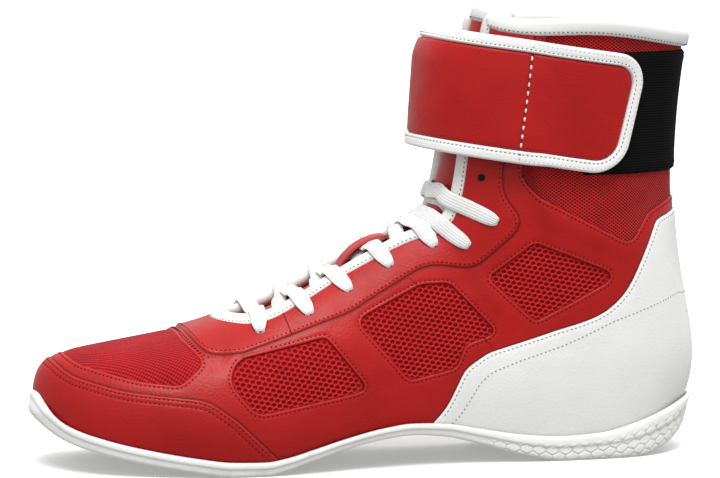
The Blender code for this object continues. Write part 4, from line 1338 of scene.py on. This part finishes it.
def sew(name, paths, look, slot, pitch=STITCH_PITCH, share=STITCH_SHARE, half=STITCH_HALF):
    """Piece of joined stitches along paths of points and normals."""
    around = np.linspace(0, 2 * math.pi, 6)[:-1]
    rings = []
    for points, normals in paths:
        length = run_length(points)
        if length[-1] < pitch * 1.5:
            continue
        count = max(1, int(length[-1] / pitch))
        middle = (np.arange(count) + 0.5) * length[-1] / count
        reach = pitch * share / 2
        centres = path_at(middle, length, points)
        out = unit(path_at(middle, length, normals))
        along = unit(path_at(middle + reach, length, points) - path_at(middle - reach, length, points))
        side = unit(np.cross(out, along))
        for i in range(count):
            for place, thick, sink in STITCH_FORM:
                centre = centres[i] + along[i] * place * reach + out[i] * sink * half * 2
                ring = np.outer(np.cos(around), side[i]) + np.outer(np.sin(around), out[i])
                rings.append(centre + ring * half * max(thick, 0.05))
    pattern = grid_faces(len(STITCH_FORM), len(around), closed=True)
    faces = repeated(pattern, len(rings) // len(STITCH_FORM))
    make_piece(name, np.concatenate(rings), faces, look, slot)


def row_paths(sheet, name, level, lift, keep):
    """Paths along a level of a number, lifted off the sheet, where keep allows."""
    paths = []
    for chain in sheet.lines(name, level):
        part = Sheet(chain, np.zeros((0, 3), int), sheet.names)
        allowed = keep(part)
        points = part.points + part.normals * lift
        start = None
        for i, good in enumerate(np.append(allowed, False)):
            if good and start is None:
                start = i
            if not good and start is not None:
                if i - start > 3:
                    paths.append((smoothed(points[start:i]), part.normals[start:i]))
                start = None
    return paths


def smoothed(points):
    """Path with its small steps eased, ends kept."""
    points = points.copy()
    for _ in range(3):
        points[1:-1] = (points[:-2] + 2 * points[1:-1] + points[2:]) / 4
    return points


def counter_row():
    """Second row of the counter, from the sole up one side, round the heel and down the other."""
    corners = np.array(COUNTER_ROW, float)
    length = run_length(corners)
    stops = np.linspace(0, length[-1], 90)
    x, z = path_at(stops, length, corners).T
    outer_t, outer_v = on_side(x, z, -1)
    inner_t, inner_v = on_side(x, z, 1)
    heel_t = np.linspace(outer_t[-1], inner_t[-1], 40)[1:-1]
    heel_v = np.linspace(outer_v[-1], inner_v[-1], 40)[1:-1]
    t = np.concatenate([outer_t, heel_t, inner_t[::-1]])
    v = np.concatenate([outer_v, heel_v, inner_v[::-1]])
    return smoothed(off_last(t, v, np.full(t.shape, COUNTER_TOP + 0.05))), outward(t, v)


def build_stitches():
    skin = SKIN
    red = []

    def open_quarter(p):
        clear = (p["guard"] > ROW_CLEAR) & (p["stay"] > ROW_CLEAR) & (p["counter"] > ROW_CLEAR)
        return clear & (p["edge"] > BINDING_CLIP + 2) & (p["over_rim"] > 1.5)

    for name in WINDOWS:
        red += row_paths(skin, name, QUARTER_ROW, QUARTER_TOP - 0.1, open_quarter)
    red += row_paths(skin, "shaft", 4.6, QUARTER_TOP + 0.1,
                     lambda p: open_quarter(p) & (p["pz"] > 150) & (p["px"] < 72))
    red += row_paths(skin, "stay", -LEATHER_ROW, STAY_TOP + 0.05, lambda p: p["edge"] > BINDING_CLIP + 2.5)
    red += row_paths(skin, "stay", QUARTER_ROW, QUARTER_TOP + 0.05,
                     lambda p: open_quarter(p) & (p["px"] < -72) & (p["toe_mesh"] > 1.0))
    for row in GUARD_ROWS:
        red += row_paths(skin, "guard", -row, GUARD_TOP - 0.1, lambda p: p["over_rim"] > 2.0)
    grey = row_paths(skin, "counter", -LEATHER_ROW, COUNTER_TOP - 0.1, lambda p: p["over_rim"] > 2.0)
    sew("thread_on_red", red, RED_THREAD, "leather_red")
    sew("thread_on_white", grey + [counter_row()], GREY_THREAD, "leather_white", half=FINE_HALF)
    sew("thread_on_binding", [edge_row()], DARK_THREAD, "leather_white", half=FINE_HALF)
    seams = seam_paths([STAY_SEAM], STAY_TOP) + seam_paths(QUARTER_SEAMS, QUARTER_TOP)
    sew("seam_lines", seams, RED_THREAD, "leather_red", pitch=1.0, share=1.1, half=SEAM_HALF)


# Binding, tongue and laces

def edge_ring(depth, height):
    """Loop along the edge, wider round the throat's front and round the padded collar."""
    pad = collar_share(EDGE_TURNS)[:, None]
    front = np.clip(1 - (from_toe(EDGE_TURNS) - front_rib()) / FRONT_REACH, 0, 1)[:, None]
    stretch = 1 + (COLLAR_STRETCH * pad + FRONT_STRETCH * front) * (depth > 0)
    puff = 1 + COLLAR_PUFF * pad
    return EDGE_POINTS + EDGE_INWARD * depth * stretch + EDGE_NORMALS * height * puff


def edge_row():
    """Stitch row on the binding, closed."""
    points = edge_ring(BINDING_ROW, 2.0)
    return np.concatenate([points, points[:1]]), np.concatenate([EDGE_NORMALS, EDGE_NORMALS[:1]])


def build_binding():
    rings = [edge_ring(depth, height) for depth, height in BINDING]
    points = np.concatenate(rings)
    numbers = np.arange(len(points)).reshape(len(rings), -1)
    pairs = zip(numbers, np.roll(numbers, -1, axis=0))
    faces = np.concatenate([strip_faces(a, b, closed=True) for a, b in pairs])
    made = make_piece("throat_collar_binding", points, faces, SHADED_BINDING_LEATHER, "leather_white",
                      ["throat_binding"], edge=0)


def build_tongue():
    rows, across = TONGUE_GRID
    t = np.linspace(TONGUE_FIRST, TONGUE_LAST, rows)
    half = RIB["throat"](t) + TONGUE_LAP
    low = solve_up(t, lambda p: half - np.abs(p[..., 1] - RIB["mid"](t)), low=0.3)
    place = np.linspace(-1, 1, across)[:, None]
    turn = np.where(place <= 0, t, ROUND - t)
    v = 1 - (1 - low) * np.abs(place)
    points = surface(turn, v)
    lift = unit(surface(TONGUE_LAST, 1.0) - surface(TONGUE_LAST - 0.3, 1.0))
    last_row = points[:, -1]
    wanted = points[across // 2, -1, 2] + lift[2] * TONGUE_FREE - TONGUE_SAG * place[:, 0]**2
    reach = (wanted - last_row[:, 2]) / lift[2]
    steps = np.linspace(0, 1, 22)[1:]
    free = last_row[:, None] + lift * (reach[:, None] * steps)[..., None]
    points = np.concatenate([points, free], axis=1)
    length = points.shape[1]
    faces = grid_faces(across, length)
    flat = points.reshape(-1, 3)
    normals = point_normals(flat, faces)
    if normals[len(normals) // 2] @ np.array([-1.0, 0.0, 0.6]) < 0:
        normals = -normals
        faces = faces[:, ::-1]
    share = np.broadcast_to(np.linspace(0, 1, length), (across, length)).ravel()
    off = np.broadcast_to(np.abs(place), (across, length)).ravel()
    swell = TONGUE_SWELL * np.clip((share - 0.55) / 0.3, 0, 1)
    ripple = np.clip(1 - off * 1.4, 0, 1) * np.clip(1 - share * 1.3, 0, 1)
    swell = swell + TONGUE_RIPPLE * np.sin(share * TONGUE_RIPPLES) * ripple
    rim = rolled(np.minimum((1 - off) * 24, (1 - share) * 150), 1.0, TONGUE_ROUND)
    level = TONGUE_LEVEL - TONGUE_PAD - TONGUE_SINK * np.clip((0.75 - share) / 0.2, 0, 1)
    top = flat + normals * (level + (TONGUE_PAD + swell) * rim)[:, None]
    bottom = flat + normals * (level - (TONGUE_THICK - TONGUE_PAD + swell) * rim - 0.1)[:, None]
    points, faces = solid(top, bottom, faces)
    tongue = make_piece("tongue_leather", points, faces, RED_LEATHER, "leather_red", ["tongue"], edge=0)
    build_tongue_binding(top.reshape(across, length, 3), bottom.reshape(across, length, 3),
                         normals.reshape(across, length, 3), lift)


def build_tongue_binding(front, back, normals, up):
    """White roll over the tongue's free top, padded towards the leg, with its stitch row."""
    path = (front[:, -1] + back[:, -1]) / 2
    out = unit(normals[:, -8])
    rings = [path + up * rise + out * level for rise, level in TONGUE_ROLL]
    points = np.stack(rings, 1).reshape(-1, 3)
    faces = capped_tube(len(path), len(TONGUE_ROLL), turned=True)
    made = make_piece("tongue_binding", points, faces, SHADED_BINDING_LEATHER, "leather_white", edge=0)
    row = path + up * TONGUE_ROW[0] + out * TONGUE_ROW[1]
    sew("thread_on_tongue", [(row[4:-4], out[4:-4])], DARK_THREAD, "leather_white", half=FINE_HALF)


def ridge_point(x, level):
    """Place over the ridge line at x, level off the last."""
    stops = np.linspace(2, TONGUE_LAST, 3001)
    t = np.interp(x, RIB["top_x"](stops), stops)
    return off_last(t, np.ones(np.shape(t)), level)


def build_lace_loop():
    """Keeper on the tongue: a leather arch that the laces pass under."""
    part = np.linspace(0, 1, 41)
    x = LOOP_FROM + (LOOP_TO - LOOP_FROM) * part
    arch = np.sin(math.pi * part)**0.7
    level = TONGUE_LEVEL - TONGUE_SINK + GAP + arch * LOOP_RISE
    low = ridge_point(x, level)
    high = ridge_point(x, level + LOOP_THICK)
    spots = np.linspace(-1, 1, 13)
    top, under = [], []
    for spot in spots:
        drop = 0.5 * LOOP_THICK * (1 - math.sqrt(max(0.0, 1 - abs(spot)**6)))
        shift = np.array([0, spot * LOOP_WIDTH / 2, 0])
        step = unit(high - low)
        top.append(high + shift - step * drop)
        under.append(low + shift + step * drop * 0.9)
    faces = grid_faces(len(spots), len(part))
    top = np.concatenate(top)
    under = np.concatenate(under)
    if point_normals(top, faces)[len(top) // 2, 2] < 0:
        faces = faces[:, ::-1]
    points, faces = solid(top, under, faces)
    # Pale sides of the keeper: partly rubbed wear, partly painted highlight
    edge = np.repeat(np.clip((np.abs(spots) - 0.8) / 0.2, 0, 1), len(part))
    make_piece("lace_keeper", points, faces, RED_LEATHER, "leather_red", ["lace_loop"],
               edge=np.tile(edge, 2))


def spline(keys, count):
    """Smooth path through keys, spaced by their chords."""
    keys = np.array(keys, float)
    chord = np.concatenate([[0], np.cumsum(np.linalg.norm(np.diff(keys[:, :3], axis=0), axis=1)**0.5)])
    slope = np.gradient(keys, chord, axis=0)
    at = np.linspace(0, chord[-1], count)
    row = np.clip(np.searchsorted(chord, at, side="right") - 1, 0, len(keys) - 2)
    step = (chord[row + 1] - chord[row])[:, None]
    part = (at[:, None] - chord[row][:, None]) / step
    rest = 1 - part
    ends = keys[row] * (1 + 2 * part) * rest**2 + keys[row + 1] * part**2 * (3 - 2 * part)
    return ends + step * part * rest * (slope[row] * rest - slope[row + 1] * part)


def edge_place(x, z, side):
    """Number of the throat edge's point nearest to a side-view place."""
    distance = np.hypot(EDGE_POINTS[:, 0] - x, EDGE_POINTS[:, 2] - z)
    return int(np.argmin(np.where(EDGE_POINTS[:, 1] * side > 2, distance, 1e9)))


def ridge_place(point):
    """Rib whose ridge point lies nearest to a point."""
    stops = np.linspace(3, TONGUE_LAST, 1500)
    return float(stops[np.argmin(np.linalg.norm(surface(stops, np.ones(stops.shape)) - point, axis=1))])


def lace_keys(eyelet, side, over, under, crossing):
    """Rows of flat point, normal, level and width: out of an eyelet, over its edge, under the other."""
    t, v = on_side(np.array([eyelet[0]]), np.array([eyelet[1]]), side)
    hole = surface(t, v)[0]
    out = outward(t, v)[0]
    near = EDGE_POINTS[over]
    far = EDGE_POINTS[under]
    away = unit(near - hole)
    top = ridge_place((near + far) / 2)
    ridge = surface(top, 1.0)
    ridge_out = outward(top, 1.0)
    rows = [
        (hole - away * 1.2, out, -1.6, 3.0),
        (hole - away * 0.9, out, 0.9, 3.6),
        (hole + away * 1.6, out, 2.7, 5.6),
        (hole + (near - hole) * 0.55, out, 3.1, LACE_WIDTH),
        (near - EDGE_INWARD[over] * 0.5, EDGE_NORMALS[over], 3.5, LACE_WIDTH),
    ]
    for number, level in ((over, crossing + 0.9), (None, crossing), (under, crossing - 0.8)):
        if number is None:
            rows.append((ridge, ridge_out, level, LACE_WIDTH))
            continue
        turn = EDGE_TURNS[number]
        ridge_turn = top if turn <= LAST else ROUND - top
        middle_t = (turn + ridge_turn) / 2
        middle_v = (float(edge_height(turn)) + 1) / 2
        rows.append((surface(middle_t, middle_v), outward(middle_t, middle_v), level, LACE_WIDTH))
    rows.append((far, EDGE_NORMALS[under], -4.0, LACE_WIDTH))
    rows.append((far + EDGE_INWARD[under] * 7, EDGE_NORMALS[under], -4.1, LACE_WIDTH))
    return [np.concatenate([flat, normal, [level, width]]) for flat, normal, level, width in rows]


def lace_mesh(keys):
    """Flat lace along its keys, with a place across and along it for the weave."""
    rows = spline(keys, LACE_ROWS)
    flat = rows[:, 0:3]
    normal = unit(rows[:, 3:6])
    path = flat + normal * rows[:, 6:7]
    run = np.gradient(flat, axis=0)
    across = unit(np.cross(run, normal))
    for _ in range(3):
        across[1:-1] = unit(across[:-2] + 2 * across[1:-1] + across[2:])
    rise = unit(np.cross(across, np.gradient(path, axis=0)))
    width = rows[:, 7:8]
    angle = np.linspace(0, 2 * math.pi, 23)[:-1]
    length = run_length(path)
    rings, uv = [], []
    for a in angle:
        broad = math.copysign(abs(math.cos(a))**0.75, math.cos(a))
        rings.append(path + across * width * broad / 2 + rise * LACE_THICK * math.sin(a) / 2)
        uv.append(np.stack([np.full(LACE_ROWS, broad * LACE_WIDTH / 2), length], 1))
    points = np.stack(rings, 1).reshape(-1, 3)
    return points, capped_tube(LACE_ROWS, len(angle)), np.stack(uv, 1).reshape(-1, 2)


def build_laces():
    """Strands out of each eyelet, over the throat and under the other edge; the lowest is a bar."""
    strands = []
    for i, eyelet in enumerate(EYELETS):
        far = edge_place(*LACE_FAR[i], 1)
        aim = EDGE_POINTS[far]
        near = edge_place(eyelet[0] * 0.45 + aim[0] * 0.55, eyelet[1] * 0.45 + aim[2] * 0.55, -1)
        strand = lace_keys(eyelet, -1, near, far, LACE_OVER)
        if i == 0:
            back = lace_keys(eyelet, 1, far, near, LACE_OVER)
            strands.append(strand[:BAR_HALF + 1] + back[:BAR_HALF][::-1])
            continue
        strands.append(strand)
        below = EYELETS[i - 1]
        near = edge_place((eyelet[0] + below[0]) / 2 - 3, (eyelet[1] + below[1]) / 2 + 5, -1)
        strands.append(lace_keys(eyelet, 1, far, near, LACE_UNDER))
    points, faces, uvs = zip(*[lace_mesh(keys) for keys in strands])
    make_piece("laces_woven", np.concatenate(points), repeated(faces[0], len(strands)), LACE_WEAVE,
               "lace_white", ["laces"], uv=np.concatenate(uvs))


# Ankle strap

def strap_rows(along, height):
    """Points of the strap's inner face: along 0 to 1 from its inner end round the front to its free end."""
    along, height = np.broadcast_arrays(np.asarray(along, float), np.asarray(height, float))
    points = np.zeros(along.shape + (3,))
    base = STRAP_LOW + height + STRAP_SLOPE * STRAP_MID

    def beside(x, side):
        t, v = on_side(x, base - STRAP_SLOPE * x, side)
        return off_last(t, v, STRAP_LEVEL)

    share = height / STRAP_HEIGHT
    end = STRAP_END_LOW + (STRAP_END_TOP - STRAP_END_LOW) * share
    inner_x = STRAP_INNER_END + (STRAP_LEAVE - STRAP_INNER_END) * np.clip(along / STRAP_SEWN, 0, 1)
    outer_x = STRAP_LEAVE + (end - STRAP_LEAVE) * np.clip((along - STRAP_FREE) / (1 - STRAP_FREE), 0, 1)
    inner = beside(inner_x, 1)
    outer = beside(outer_x, -1)
    front_x = STRAP_FRONT_LOW + (STRAP_FRONT_TOP - STRAP_FRONT_LOW) * share
    front_x = front_x + STRAP_ROUND * np.clip((share - 0.7) / 0.3, 0, 1)**2
    front = vectors(front_x, 0, base - STRAP_SLOPE * front_x)
    forward = vectors(-1, 0, STRAP_SLOPE)
    sideways = vectors(0, 1, 0)
    halfway = (STRAP_SEWN + STRAP_FREE) / 2
    for start, side, first, last in ((inner, 1, STRAP_SEWN, halfway), (outer, -1, STRAP_FREE, halfway)):
        part = np.clip((along - first) / (last - first), 0, 1)[..., None]
        rest = 1 - part
        leave = start + forward * STRAP_HANDLES[0]
        arrive = front + sideways * side * STRAP_HANDLES[1]
        bridge = start * rest**3 + 3 * leave * part * rest**2
        bridge = bridge + 3 * arrive * part**2 * rest + front * part**3
        here = (along - halfway) * side <= 0
        points = np.where(here[..., None], bridge, points)
    return points


def facing_out(flat, faces):
    """Normals and triangles of a sheet round the ankle, turned away from it."""
    normals = point_normals(flat, faces)
    middle = np.array([(STRAP_FRONT_LOW + STRAP_END_LOW) / 2, 0, 0])
    if np.sum((flat - middle) * (1, 1, 0) * normals) < 0:
        return -normals, faces[:, ::-1]
    return normals, faces


def strap_sheet():
    """Dense sheet of the strap with its depth from the outline and its length from the free end."""
    along = np.linspace(0, 1, STRAP_GRID[0])
    height = np.linspace(0, STRAP_HEIGHT, STRAP_GRID[1])
    grid_along, grid_height = np.meshgrid(along, height)
    points = strap_rows(grid_along, grid_height)
    for _ in range(10):
        points[:, 1:-1] = (points[:, :-2] + 2 * points[:, 1:-1] + points[:, 2:]) / 4
    length = run_length(points)
    to_end = length[:, -1:] - length
    down = np.minimum(grid_height, STRAP_HEIGHT - grid_height)
    short_x = np.clip(STRAP_CORNER - to_end, 0, None)
    short_z = np.clip(STRAP_CORNER - down, 0, None)
    corner = STRAP_CORNER - np.hypot(short_x, short_z)
    depth = np.where((short_x > 0) & (short_z > 0), corner, np.minimum(to_end, down))
    depth = np.minimum(depth, length)
    faces = grid_faces(*depth.shape)
    flat = points.reshape(-1, 3)
    normals, faces = facing_out(flat, faces)
    data = np.column_stack([flat, normals, -depth.ravel(), to_end.ravel(), grid_height.ravel(),
                            length.ravel(), -flat[:, 1]])
    return Sheet(data, faces, "x y z nx ny nz field to_end height length outer".split())


def build_strap():
    strap = strap_sheet()
    seam_x = STRAP_STITCH_LOW + (STRAP_STITCH_TOP - STRAP_STITCH_LOW) * strap["height"] / STRAP_HEIGHT
    seam = np.where(strap["outer"] > 8, strap["x"] - seam_x, -50.0)
    strap = strap.with_field("seam", seam)
    outline_sheet = strap.split("field", 0.0, keep="below")
    panel = outline_sheet.split("field", -STRAP_EDGE + 0.5, keep="below")
    for part in (0.0, 0.3, 0.8, 1.6):
        panel = panel.split("field", -STRAP_EDGE - part)
    for part in (-1.0, -0.4, 0.0, 0.4, 1.0):
        panel = panel.split("seam", part)
    depth = -panel["field"] - STRAP_EDGE
    lift = STRAP_BASE + rolled(depth, STRAP_PAD, STRAP_PAD_ROUND) + STRAP_CROWN * np.clip(depth / 8, 0, 1)
    lift = lift - STRAP_GROOVE * np.exp(-(panel["seam"] / 0.6)**2)
    make_piece("strap_leather", *panel.slab(lift, STRAP_UNDER), RED_LEATHER, "leather_red", ["strap"],
               edge=0)
    lining = outline_sheet.split("field", -STRAP_EDGE + 0.3, keep="below")
    make_piece("strap_lining", *lining.slab(*STRAP_LINING), LINING_CLOTH, "lining", edge=0)
    binding = outline_sheet.with_field("inner", -outline_sheet["field"] - STRAP_EDGE)
    binding = binding.split("inner", 0.0, keep="below")
    for part in STRAP_BINDING_SPLITS:
        binding = binding.split("field", -part)
    depth = -binding["field"]
    lift = STRAP_BINDING_TOP * rolled(STRAP_EDGE - depth, 1.0, 0.8) * rolled(depth, 1.0, 1.2)
    lift = STRAP_UNDER + lift
    lift = lift - 0.25 * np.exp(-((depth - STRAP_ROW) / 0.6)**2)
    make_piece("strap_edge_binding", *binding.slab(lift, STRAP_LINING[1]), WHITE_LEATHER, "leather_white",
               ["strap_binding"], edge=0)
    edge_rows = row_paths(strap, "field", -STRAP_ROW, 2.35, lambda p: p["length"] > 3)
    edge_rows += row_paths(strap, "field", -1.7, 2.45, lambda p: p["seam"] > 1.0)
    cross = row_paths(strap, "seam", 0.0, 1.45, lambda p: -p["field"] > STRAP_EDGE + 0.3)
    edge_rows += row_paths(strap, "seam", 0.0, 2.5,
                           lambda p: (-p["field"] < STRAP_EDGE - 0.4) & (-p["field"] > 0.8))
    sew("thread_on_strap", edge_rows, DARK_THREAD, "leather_white", half=FINE_HALF)
    sew("thread_under_seam", cross, DARK_THREAD, "leather_white", pitch=CROSS_PITCH, share=1.0, half=0.3)
    sew("thread_across_strap", cross, WHITE_THREAD, "leather_white", pitch=CROSS_PITCH, share=0.72,
        half=0.5)


def build_elastic():
    t = np.linspace(ELASTIC_FROM, ROUND - ELASTIC_FROM, ELASTIC_GRID[0])
    share = np.linspace(0, 1, ELASTIC_GRID[1])
    rows = []
    for part in share:
        height = ELASTIC_LOW + (ELASTIC_TOP - ELASTIC_LOW) * part
        v = solve_up(t, lambda p: p[..., 2] - height)
        rows.append(surface(t, v))
    points = np.array(rows)
    faces = grid_faces(len(share), len(t))
    flat = points.reshape(-1, 3)
    normals, faces = facing_out(flat, faces)
    down = np.minimum(share, 1 - share)[:, None] * (ELASTIC_TOP - ELASTIC_LOW)
    down = np.broadcast_to(down, points.shape[:2]).ravel()
    welt_at, welt_half, welt_height = WELT
    welt = welt_height * np.clip(1 - np.abs(down - welt_at) / welt_half, 0, 1)
    lift = ELASTIC_LEVEL + rolled(down, ELASTIC_THICK, 1.2) + welt
    top = flat + normals * lift[:, None]
    bottom = flat + normals * (ELASTIC_LEVEL - 0.1)
    girth = run_length(points[len(share) // 2])
    uv = np.stack([np.broadcast_to(girth, points.shape[:2]).ravel(), flat[:, 2]], 1)
    make_piece("elastic_band", *solid(top, bottom, faces), ELASTIC_RIB, "elastic_black", ["strap_elastic"],
               uv=np.tile(uv, (2, 1)))


# Sole

def stations():
    """Places along the sole, close together round the heel and at both tips."""
    half = SOLE_LENGTH / 2
    tip = half - np.array([0, 0.15, 0.5, 1.0, 1.6, 2.4, 3.2, 4.2])
    places_x = np.concatenate([-tip, np.arange(-138, 40, 2.0),
                               NOTCH + np.linspace(-2, 2, 9), np.arange(40, 139, 0.6), tip[::-1]])
    return np.unique(places_x)


def level_loop(inset):
    """Loop of the outline moved in by a number or by a function of t: outer side, then inner side."""
    loop = []
    x = stations()
    for side in (-1, 1):
        t = np.linspace(0, LAST, 3000)
        t = t if side < 0 else ROUND - t
        depth = inset(t) if callable(inset) else np.full(t.shape, inset)
        seen_x, seen_y, _, _ = outline(t, depth)
        weight = np.clip((np.abs(x) - SOLE_LENGTH / 2 + SOLE_END) / SOLE_END, 0, 1)
        tip = np.where(x < 0, -seen_x[0], seen_x[-1])
        moved = np.sign(x) * (np.abs(x) - weight * (SOLE_LENGTH / 2 - tip))
        y = np.interp(moved, seen_x, seen_y)
        row = np.stack([moved, y], 1)
        loop.append(row if side < 0 else row[-2:0:-1])
    return np.concatenate(loop)


def ladder(numbers):
    """Cap of a loop: triangles from the outer side straight across to the inner side."""
    count = len(numbers)
    half = count // 2
    faces = []
    for i in range(half):
        a = numbers[i]
        b = numbers[i + 1]
        c = numbers[(count - i - 1) % count]
        d = numbers[(count - i) % count]
        faces.append((a, b, c) if i < half - 1 else (a, b, d))
        if 0 < i < half - 1:
            faces.append((a, c, d))
    return np.array(faces)


def capped_cup(rows, columns):
    """Triangles of loops on one another, closed below and on top."""
    numbers = np.arange(columns)
    return np.concatenate([grid_faces(rows, columns, closed=True), ladder(numbers)[:, ::-1],
                           ladder(numbers + (rows - 1) * columns)])


def honeycomb(along, height):
    """0 in the grooves between the heel's scales, 1 on them."""
    best = np.full(along.shape, 1e9)
    second = np.full(along.shape, 1e9)
    above = np.zeros(along.shape)
    for shift in (0.0, 0.5):
        for step in (-1, 0, 1):
            u = along / HEX_WIDE - shift
            w = height / HEX_TALL - shift
            centre_u = np.round(u) + step
            centre_w = np.round(w)
            distance = np.hypot((u - centre_u) * HEX_WIDE, (w - centre_w) * HEX_TALL * HEX_SQUASH)
            second = np.minimum(second, np.maximum(best, distance))
            above = np.where(distance < best, (w - centre_w) * HEX_TALL, above)
            best = np.minimum(best, distance)
    start, width = HEX_GROOVE
    gap = np.clip((second - best - start) / width, 0, 1)
    return eased(gap) * (HEX_LEVEL - HEX_TILT * above)


def toe_lean(x, z):
    """Shift of the sole's toe, so that its high rim lies back on the guard."""
    rise = np.clip(z - TOE_LEAN_FROM, 0, None)
    shift = TOE_LEAN * rise**2 / (rise + 4) * np.clip((TOE_LEAN_BEHIND - x) / 8, 0, 1)
    return np.column_stack([shift, 0 * shift, 0 * shift])


def build_sole():
    inset_at = steady_curve(*zip(*WALL_PROFILE))
    share = np.concatenate([np.linspace(0, 0.56, 30), np.linspace(0.58, 1.0, 12)])
    base = level_loop(0.0)
    length = run_length(base)
    after = np.roll(base, -1, axis=0) - np.roll(base, 1, axis=0)
    out = unit(np.stack([after[:, 1], -after[:, 0]], 1))
    heel = float(np.interp(SOLE_LENGTH / 2, base[:len(base) // 2 + 1, 0], length[:len(base) // 2 + 1]))
    loops, groove_shade = [], []
    for part in share:
        loop = level_loop(float(inset_at(part)))
        x = loop[:, 0]
        low = sole_bottom(x)
        high = cup_rim(x)
        z = low + (high - low) * part
        bump = honeycomb(length - heel, z - high)
        fade = np.clip((x - HEX_FROM) / HEX_FADE, 0, 1) * np.clip((high - BAND - z) / 0.9, 0, 1)
        fade = fade * np.clip((z - low) / 0.8, 0.15, 1)
        notch = NOTCH_DEPTH * np.exp(-((x - NOTCH) / NOTCH_HALF)**2)
        loop = loop + out * (HEX_HEIGHT * (bump - 0.55) * fade - notch)[:, None]
        loops.append(np.column_stack([loop, z]) + toe_lean(x, z))
        # Painted shade in the grooves between the scales
        groove_shade.append(-HEX_GROOVE_SHADE * np.clip(1 - bump / 0.6, 0, 1) * fade)
    lip = level_loop(RIM_THICK)
    for height in (cup_rim(lip[:, 0]), cup_floor(lip[:, 0])):
        loops.append(np.column_stack([lip, height]) + toe_lean(lip[:, 0], height))
    faces = capped_cup(len(loops), len(base))
    edge = np.zeros((len(loops), len(base)))
    edge[:-2] = groove_shade
    # Painted shadow along the rim's inner edge, where the upper stands in the sole
    edge[-3:] = [[-0.5], [-1.0], [-1.0]]
    make_piece("sole_rubber_cup", np.concatenate(loops), faces, RUBBER, "rubber_white", ["outsole"],
               edge=edge.ravel())


def build_insole():
    rows = []
    for inset, height in ((0.6, 0.0), (0.0, 0.5), (0.0, INSOLE_THICK - 0.7), (0.8, INSOLE_THICK)):
        loop = level_loop(lambda t, inset=inset: foot_inset(t) + WALL + 2 * GAP + inset)
        rows.append(np.column_stack([loop, cup_floor(loop[:, 0]) + FOOT_LIFT + height]))
    faces = capped_cup(len(rows), len(rows[0]))
    make_piece("insole_cloth", np.concatenate(rows), faces, LINING_CLOTH, "lining", ["insole"])


make_stage()

RED_LEATHER = leather_look("red_leather", (0.42, 0.006, 0.005), (0.35, 0.004, 0.0035),
                           (0.56, 0.04, 0.034), 0.38, 0.10, 0.25)
WHITE_LEATHER = leather_look("white_leather", (0.84, 0.84, 0.825), (0.79, 0.79, 0.775),
                             (0.87, 0.87, 0.86), 0.5, 0.08, 0.4)
# Throat and tongue binding: a darker copy of the white leather, painted shade for its up-facing roll
SHADED_BINDING_LEATHER = leather_look("binding_leather_shaded", (0.74, 0.74, 0.73), (0.70, 0.70, 0.69),
                               (0.78, 0.78, 0.77), 0.5, 0.08, 0.4)
TOE_WEAVE = weave_look("toe_weave", (0.54, 0.011, 0.017), (0.21, 0.002, 0.006), 1.8, 1.3)
SHAFT_WEAVE = weave_look("shaft_weave", (0.63, 0.020, 0.023), (0.10, 0.001, 0.002), 2.1, 1.4)
NET_CORD = cloth_look("net_cord", (0.55, 0.015, 0.018), (0.44, 0.010, 0.013), 0.5, 0.6)
# Dark red backing cloth: partly its own colour, partly painted shade seen inside the nets' holes
BACKING_CLOTH = cloth_look("backing_cloth", (0.29, 0.008, 0.010), (0.21, 0.005, 0.007), 0.6)
LINING_CLOTH = cloth_look("lining_cloth", (0.62, 0.62, 0.60), (0.52, 0.52, 0.50), 0.8)
LACE_WEAVE = lace_look()
ELASTIC_RIB = elastic_look()
RUBBER = rubber_look()
RED_THREAD = thread_look("red_thread", (0.17, 0.004, 0.005))
GREY_THREAD = thread_look("grey_thread", (0.30, 0.32, 0.33))
DARK_THREAD = thread_look("dark_thread", (0.07, 0.07, 0.075))
SLEEVE = thread_look("eyelet_black", (0.012, 0.012, 0.013))
WHITE_THREAD = thread_look("white_thread", (0.82, 0.80, 0.76))

EDGE_POINTS, EDGE_NORMALS, EDGE_INWARD, EDGE_TURNS = edge_loop()
SKIN = make_skin(FINE)
BACKING = make_skin(COARSE)
build_sole()
build_insole()
build_panels()
build_nets()
build_eyelets()
build_stitches()
build_binding()
build_tongue()
build_lace_loop()
build_laces()
build_strap()
build_elastic()
